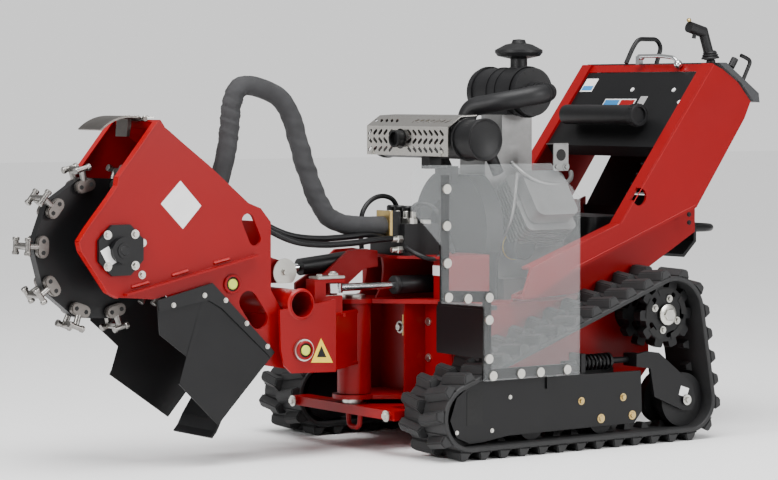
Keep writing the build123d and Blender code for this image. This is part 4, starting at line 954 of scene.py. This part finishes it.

# %% [markdown]
# The drive sprocket is a casting with five windows, four bolts and a large castle nut. The nut
# and bolts are bare metal, so they stand out against the black casting. The windows are not cut:
# each is a thin dark plate of painted shade on the face.

# %% Sprocket fittings
for word, side in (("left", -1), ("right", 1)):
    face = side * SPROCKET_FACE
    away = (0, side, 0)
    spots = []
    for degrees in (75, 155, 255, 335):
        x, z = around(SPROCKET, 46, degrees)
        spots.append((x, face, z))
    bolts("sprocket_bolts_" + word, spots, away, "sprocket_" + word, ZINC, 6, 8, 7, 11)
    nut = bmesh.new()
    turned(nut, [(0, 0), (30, 0), (30, 5), (22, 8), (0, 8)], (SPROCKET[0], face + side * 5, SPROCKET[1]),
           away)
    turned(nut, [(0, 0), (19, 0), (19, 7), (17, 9), (0, 9)], (SPROCKET[0], face + side * 12, SPROCKET[1]),
           away, 6)
    piece("sprocket_nut_" + word, nut, "sprocket_" + word, ZINC)
    # Painted shade: each window is a thin dark plate laid on the face, not an opening.
    windows = bmesh.new()
    for k in range(5):
        angle = math.radians(72 * k + 20)
        outline = []
        for step_index in range(9):
            a = angle - 0.40 + 0.10 * step_index
            outline.append(around(SPROCKET, 76, math.degrees(a)))
        for step_index in range(9):
            a = angle + 0.36 - 0.09 * step_index
            outline.append(around(SPROCKET, 58, math.degrees(a)))
        low, high = sorted((face, face + side * 0.8))
        side_plate(windows, outline, low, high)
    piece("sprocket_windows_" + word, windows, "sprocket_" + word, SHADOW)

# %% Track frame bolts
for word, side in (("left", -1), ("right", 1)):
    y = side * FRAME_FACE
    away = (0, side, 0)
    bolts("frame_bolts_" + word, [(-173, y, 137), (-20, y, 138)], away, "root", GOLD, 6, 8, 6, 11)
    bolts("frame_pins_" + word, [(-101, y, 83), (14, y, 85)], away, "root", GOLD, 12, 9, 5, 13)
    bolts("frame_screws_" + word, [(-608, y, 78), (-488, y, 76), (-425, y, 164)], away, "root", ZINC, 12,
          4.5, 3, 6)
    bolts("roller_bolt_" + word, [(214, y - side * -8, 116)], away, "tension_arm_" + word, ZINC, 6, 10, 8,
          15)
    # Painted shade: the frame's opening is a thin dark plate laid on its face.
    opening = bmesh.new()
    low, high = sorted((y, y + side * 0.8))
    side_plate(opening, [(-574, 186), (-566, 190), (-520, 190), (-520, 96), (-574, 96)], low, high)
    piece("frame_opening_" + word, opening, "root", SHADOW)

# %% [markdown]
# A coil spring pushes the rear roller out to keep each track tight. It is a helix swept with a
# round wire.

# %% Tension springs
def helix(centre, x_low, x_high, radius, turns, steps=18):
    """Points round a coil that runs along X."""
    count = turns * steps
    return [(x_low + (x_high - x_low) * i / count,
             centre[0] + radius * math.cos(2 * math.pi * i / steps),
             centre[1] + radius * math.sin(2 * math.pi * i / steps)) for i in range(count + 1)]


def tube(work, route, radius_at, steps=12):
    """Sweep a ring along a route of points (mm), with its own radius at each share of the way."""
    points = [Vector(p) for p in route]
    normal = None
    rings = []
    for index, point in enumerate(points):
        before, after = points[max(index - 1, 0)], points[min(index + 1, len(points) - 1)]
        along = (after - before).normalized()
        if normal is None:
            normal = along.orthogonal().normalized()
        normal = (normal - along * normal.dot(along)).normalized()
        across = along.cross(normal)
        share = index / (len(points) - 1)
        ring = []
        for k in range(steps):
            angle = 2 * math.pi * k / steps
            radius = radius_at(share, angle)
            ring.append(work.verts.new((point + radius * (math.cos(angle) * normal + math.sin(angle)
                                                          * across)) * MM))
        rings.append(ring)
    for ring, after in zip(rings, rings[1:]):
        for k in range(steps):
            m = (k + 1) % steps
            work.faces.new((ring[k], ring[m], after[m], after[k]))
    work.faces.new(rings[0][::-1])
    work.faces.new(rings[-1])


for word, side in (("left", -1), ("right", 1)):
    coil = bmesh.new()
    tube(coil, helix((side * 380, 240), -148, -52, 19.5, 7), lambda share, angle: 4.2, 8)
    spring = piece("spring_" + word, coil, None, BLACK)
    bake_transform(spring)
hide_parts("tension_springs")

# %% [markdown]
# Hoses carry oil across both joints of the head. Each one is a smooth spline through a few
# points. A ring is swept along that spline, and its radius varies where the sleeve wrinkles.

# %% Hose helpers
def smooth_route(name, points):
    """Points (mm) along a spline through a few control points (mm)."""
    data = bpy.data.curves.new(name, "CURVE")
    data.dimensions = "3D"
    spline = data.splines.new("NURBS")
    spline.points.add(len(points) - 1)
    for target, point in zip(spline.points, points):
        target.co = (*(Vector(point) * MM), 1)
    spline.order_u = 3
    spline.use_endpoint_u = True
    spline.resolution_u = 12
    holder = bpy.data.objects.new(name, data)
    bpy.context.scene.collection.objects.link(holder)
    line = baked(holder, name + "_line")
    return [Vector(vertex.co) / MM for vertex in line.vertices]


def route_length(route):
    return sum((b - a).length for a, b in zip(route, route[1:])) * MM


def free_hose(name, points, radius, body, material, radius_at=None, steps=14):
    route = smooth_route(name, points)
    work = bmesh.new()
    tube(work, route, radius_at or (lambda share, angle: radius), steps)
    made = piece(name, work, body, material)
    print(name, "length", round(route_length(route), 3))
    return made


# %% Sleeved bundle
CROWN = (-1000, -30, 1016)
REAR_ROUTE = [(-588, -60, 627), (-640, -60, 627), (-716, -64, 630), (-786, -60, 650), (-822, -54, 712),
              (-850, -46, 790), (-872, -40, 868), (-894, -36, 946), (-936, -32, 1000), CROWN]
FRONT_ROUTE = [CROWN, (-1051.2, -28.4, 1028.8), (-1080, -26, 976), (-1084, -24, 900), (-1096, -22, 820),
               (-1120, -22, 750)]


def wrinkled(share, angle):
    """The sleeve's radius: even at both ends, and creased between them."""
    slack = math.sin(math.pi * share)
    crease = math.sin(58 * share + 2.2 * math.sin(angle + 9 * share)) + 0.6 * math.sin(131 * share + 3
                                                                                       * angle)
    return 27 + slack * 1.3 * crease


rear_sleeve = free_hose("sleeve_rear", REAR_ROUTE, 27, None, SLEEVE, wrinkled, 28)
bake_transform(rear_sleeve)
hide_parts("hoses_rear")
front_sleeve = free_hose("sleeve_front", FRONT_ROUTE, 27, None, SLEEVE, wrinkled, 28)
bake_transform(front_sleeve)
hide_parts("hoses_front")

# %% [markdown]
# The muffler wears a folded stainless cover. Slots in a herringbone pattern let the heat out.
# The cover starts as one folded solid, and a boolean cuts all the slots in one go.

# %% Muffler cover
COVER_X, COVER_FOLD, COVER_TOP = -454, 905, 935
cover_line = [(COVER_X, 821), (COVER_X, COVER_FOLD), (-408, COVER_TOP), (-352, 938), (-352, 935),
              (-407, 932),
              (COVER_X + 3, 903), (COVER_X + 3, 821)]


def slanted_slot(length, half, lean):
    """Outline of a slot, leaning by an angle in degrees."""
    turn = math.radians(lean)
    return [(x * math.cos(turn) - z * math.sin(turn), x * math.sin(turn) + z * math.cos(turn))
            for x, z in stadium(length, half, 5)]


sheet_work = bmesh.new()
side_plate(sheet_work, cover_line, -170, 228)
slots = bmesh.new()
for side in (-1, 1):
    for column in range(7 if side < 0 else 5):
        y = 62 + side * (46 + 26 * column)
        for row, z in enumerate((839, 863, 887)):
            lean = side * (38 if row % 2 else -38)
            prism(slots, [(COVER_X - 6, y + u, z + v) for u, v in slanted_slot(24, 4.5, lean)], (14, 0, 0))
        along, away = Vector((0.838, 0, 0.546)), Vector((-0.546, 0, 0.838))
        middle = Vector((-431, y, 920))
        outline = [middle - away * 8 + Vector((0, u, 0)) + along * v for u,
                   v in slanted_slot(24, 4.5, side * 38)]
        prism(slots, outline, away * 14)
rod(slots, (COVER_X - 10, 60, 869), (COVER_X + 10, 60, 869), 29, 0, 28)
sheet_part = shape_object("cover_sheet", sheet_work)
slot_part = shape_object("cover_slots", slots)
cut = sheet_part.modifiers.new("slots", "BOOLEAN")
cut.operation = "DIFFERENCE"
cut.solver = "EXACT"
cut.object = slot_part
cover_mesh = baked(sheet_part, "muffler_cover")
bpy.data.objects.remove(slot_part)
cover = show("muffler_cover", cover_mesh, "root", STAINLESS)
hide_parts("heat_shield")

# %% Muffler ends
outlet = bmesh.new()
turned(outlet, [(20, -18), (25, -18), (25, 24), (20, 24), (20, -18)], (COVER_X, 60, 869), FORWARD)
piece("muffler_outlet", outlet, "root", CAST_BLACK)
ends = bmesh.new()
turned(ends, [(52, 0), (60, 0), (60, 7), (57, 9), (53, 6), (48, 3), (0, 1), (0, 0)], (-388, -250, 869),
       NEAR, 40)
turned(ends, [(56, 0), (61, 0), (61, 6), (56, 6)], (-388, -178, 869), NEAR, 40)
piece("muffler_ends", ends, "root", CAST_BLACK)
bolts("cover_bolts", [(COVER_X, -140, 830), (COVER_X, 200, 830)], FORWARD, "root", ZINC, 6, 6, 4, 9)

# %% [markdown]
# The engine shows many small fittings. A few of the ones seen past the shield are modelled: the
# oil filter, a bracket with a hole, and the pipes beside the cylinder. The hole is a dark disc of painted
# shade.

# %% Engine fittings
oil_filter = bmesh.new()
turned(oil_filter, [(0, 0), (36, 0), (38, 3), (38, 62), (34, 68), (0, 70)], (-184, -112, 560), NEAR, 32)
piece("oil_filter", oil_filter, "root", BLACK)
filter_ring = bmesh.new()
turned(filter_ring, [(37, 0), (40, 0), (40, 5), (37, 5), (37, 0)], (-184, -120, 560), NEAR, 32)
piece("oil_filter_ring", filter_ring, "root", YELLOW)
bracket = bmesh.new()
box(bracket, (-104, -48), (-206, -203), (776, 856), 1)
box(bracket, (-104, -48), (-206, -170), (852, 855), 1)
piece("engine_bracket", bracket, "root", ALLOY)
bolts("bracket_bolts", [(-94, -206, 788), (-58, -206, 788)], NEAR, "root", ALLOY, 6, 8, 6, 12)
# Painted shade: the bracket's hole is a thin dark disc on its face.
dark_hole = bmesh.new()
turned(dark_hole, [(0, 0), (17, 0), (17, 0.8), (0, 0.8)], (-76, -206, 822), NEAR)
piece("bracket_hole", dark_hole, "root", SHADOW)
rails = bmesh.new()
tube(rails, smooth_route("fuel_rail", [(-212, -150, 800), (-212, -196, 772), (-150, -205, 742),
                                       (-80, -205, 736), (-20, -190, 748), (6, -150, 770)]),
     lambda share, angle: 7)
tube(rails, smooth_route("dip_pipe", [(-236, -120, 560), (-232, -170, 620), (-222, -182, 700),
                                      (-214, -176, 772)]), lambda share, angle: 5)
piece("engine_pipes", rails, "root", ALLOY)

# %% Cleaner straps
straps = bmesh.new()
for y in (-93, 88):
    turned(straps, [(70, 0), (75, 0), (75, 12), (70, 12), (70, 0)], (-105, y, 1003), (0, 1, 0), 48)
for index in range(12):
    angle = math.radians(30 * index)
    side = Vector((math.cos(angle), 0, math.sin(angle)))
    rod(straps, Vector((-105, -116, 1003)) + side * 62, Vector((-105, -60, 1003)) + side * 69, 2.2, 0.8, 6)
piece("cleaner_ribs", straps, "root", PLASTIC)
intake_rings = bmesh.new()
intake_line = smooth_route("intake_line", [(-105, -139, 1003), (-105, -189, 1003), (-165, -217, 996),
                                           (-255, -179, 978)])
for index in range(3, len(intake_line) - 6, 2):
    way = intake_line[index + 1] - intake_line[index - 1]
    turned(intake_rings, [(24, -2.2), (28.6, -2.2), (28.6, 2.2), (24, 2.2)], intake_line[index], way, 24)
piece("intake_rings", intake_rings, "root", PLASTIC)

# %% [markdown]
# The console panel leans away from the operator's feet, so anything printed on it has to lean too.
# One helper finds the panel's surface at a height.

# %% Console labels
def panel_x(z):
    """The leaning panel's front at a height, in mm."""
    return 416 - 0.755 * (1088 - z) + 10


def panel_label(name, y_low, y_high, z_low, z_high, material, lift=0.4):
    """Add a blank label on the leaning panel."""
    corners = [(panel_x(z) - lift, y, z) for y, z in ((y_low, z_low), (y_high, z_low), (y_high, z_high),
                                                      (y_low, z_high))]
    label(name, corners, (-0.8, 0, 0.6), "root", material)


panel_label("console_label_far", 190, 246, 1004, 1044, WHITE)
panel_label("console_label_far_stripe", 194, 242, 1008, 1022, BLUE, 1.2)
panel_label("console_label_white", -45, 100, 958, 982, WHITE)
panel_label("console_label_blue", 30, 96, 961, 979, BLUE, 1.2)
panel_label("console_label_red", -41, 22, 961, 979, HIGHLIGHT_AND_LABEL_RED, 1.2)
panel_label("console_sticker", -90, -58, 962, 990, SILVER_LABEL)
bolts("console_bolts", [(panel_x(1009) - 1, -190, 1009), (panel_x(973) - 1, -246, 973),
                        (panel_x(1010) - 1, 0, 1010)],
      (-0.8, 0, 0.6), "root", WHITE, 12, 6, 3, 7)

# %% Tube cap and knobs
tube_cap = bmesh.new()
turned(tube_cap, [(0, 0), (27, 0), (33.5, 2), (33.5, 22), (31, 24), (31, 14), (20, 9), (0, 9)],
       (258, -137, 935), NEAR, 40)
piece("document_tube_cap", tube_cap, "root", PLASTIC)
tube_grips = bmesh.new()
for index in range(20):
    angle = 2 * math.pi * index / 20
    spot = Vector((258 + 33.5 * math.cos(angle), -140, 935 + 33.5 * math.sin(angle)))
    rod(tube_grips, spot, spot + Vector((0, -17, 0)), 1.8, 0.6, 6)
piece("document_tube_grips", tube_grips, "root", PLASTIC)

# %% Joystick details
stick = bmesh.new()
turned(stick, [(15, 0), (27, 0), (27, 4), (23, 8), (25, 11), (20, 15), (22, 18), (17, 23), (15, 24),
               (15, 0)],
       (478, -225, 1102), (-0.1, 0, 1), 28)
piece("joystick_boot", stick, "joystick", PLASTIC)
thumb = bmesh.new()
rod(thumb, (394, -225, 1212), (390, -225, 1220), 6.5, 1.5, 16)
piece("joystick_button", thumb, "joystick", GOLD)

# %% Arm details
bolts("arm_bolts", [(331, -300, 644), (331, -300, 620)], NEAR, "root", BLACK, 12, 5, 3, 7)
ARM_FACE = 299.4
# Painted highlight: each fold of the arm is a thin bead of lighter red.
crease = bmesh.new()
for side in (-1, 1):
    for start, end in (((-117, 497), (354, 671)), ((-250, 510), (62, 622)), ((72, 624), (424, 1082))):
        near, far = Vector((start[0], side * ARM_FACE, start[1])), Vector((end[0], side * ARM_FACE, end[1]))
        tube(crease, [near, (near + far) / 2, far], lambda share, angle: 1.6, 8)
piece("arm_creases", crease, "root", HIGHLIGHT_AND_LABEL_RED)

# %% [markdown]
# Valves, fittings and short hoses crowd the space in front of the engine. They are turned parts
# and swept tubes, each one placed where a real fitting would screw in.

# %% Valve fittings
fittings = bmesh.new()
for y, z in ((-96, 640), (-62, 652), (-20, 648), (20, 644)):
    rod(fittings, (-520, y, 630), (-520, y, 648), 12, 1.5, 6)
    rod(fittings, (-520, y, 648), (-520, y, 666), 9, 1, 16)
for y in (-100, -60, -10, 35):
    rod(fittings, (-478, y, 630), (-478, y, 642), 14, 1.5, 6)
for z in (560, 590):
    rod(fittings, (-560, -96, z), (-578, -96, z), 11, 1.5, 6)
    rod(fittings, (-578, -96, z), (-596, -96, z), 8, 1, 16)
piece("valve_fittings", fittings, "root", ZINC)
clamp_band = bmesh.new()
box(clamp_band, (-600, -590), (-94, -28), (583, 670), 1)
piece("valve_clamp", clamp_band, "root", GOLD)
caps = bmesh.new()
for y in (-80, -40, 0, 35):
    turned(caps, [(0, 0), (15, 0), (16, 2), (16, 14), (13, 18), (0, 18)], (-500, y, 662), UP, 20)
piece("valve_caps", caps, "root", BLACK)

# %% Valve hoses
near_loop = [(-520, -96, 664), (-520, -110, 690), (-500, -150, 690), (-470, -186, 640), (-462, -190, 570),
             (-500, -176, 530),
             (-548, -160, 545), (-556, -110, 566)]
free_hose("hose_near_loop", near_loop, 7, "root", BLACK)
free_hose("hose_to_motor", [(-478, -10, 640), (-470, -12, 672), (-440, -30, 690), (-405, -60, 668),
                            (-392, -90, 600), (-388, -110, 545)],
          7, "root", BLACK)
free_hose("hose_over_valve", [(-478, 35, 640), (-480, 36, 690), (-540, 30, 712), (-600, 20, 690),
                              (-632, 10, 640), (-628, 4, 560)],
          7, "root", BLACK)

# %% Head hoses
def head_hose(name, y, z_lift):
    """One hose from the valve to the cutter motor, made as a rear half and a front half."""
    rear = free_hose(name + "_rear", [(-596, y, 592), (-655, y - 8, 592 + z_lift),
                                      (-720, y - 14, 584 + z_lift), (-810, y - 14, 582 + z_lift)],
                     9, None, BLACK)
    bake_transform(rear)
    front = free_hose(name + "_front", [(-810, y - 14, 582 + z_lift), (-874, y - 14, 583 + z_lift),
                                        (-955, y - 8, 600 + z_lift),
                                        (-1004, y, 628 + z_lift)], 9, None, BLACK)
    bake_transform(front)


head_hose("motor_hose_near", -96, 0)
head_hose("motor_hose_far", -70, 16)
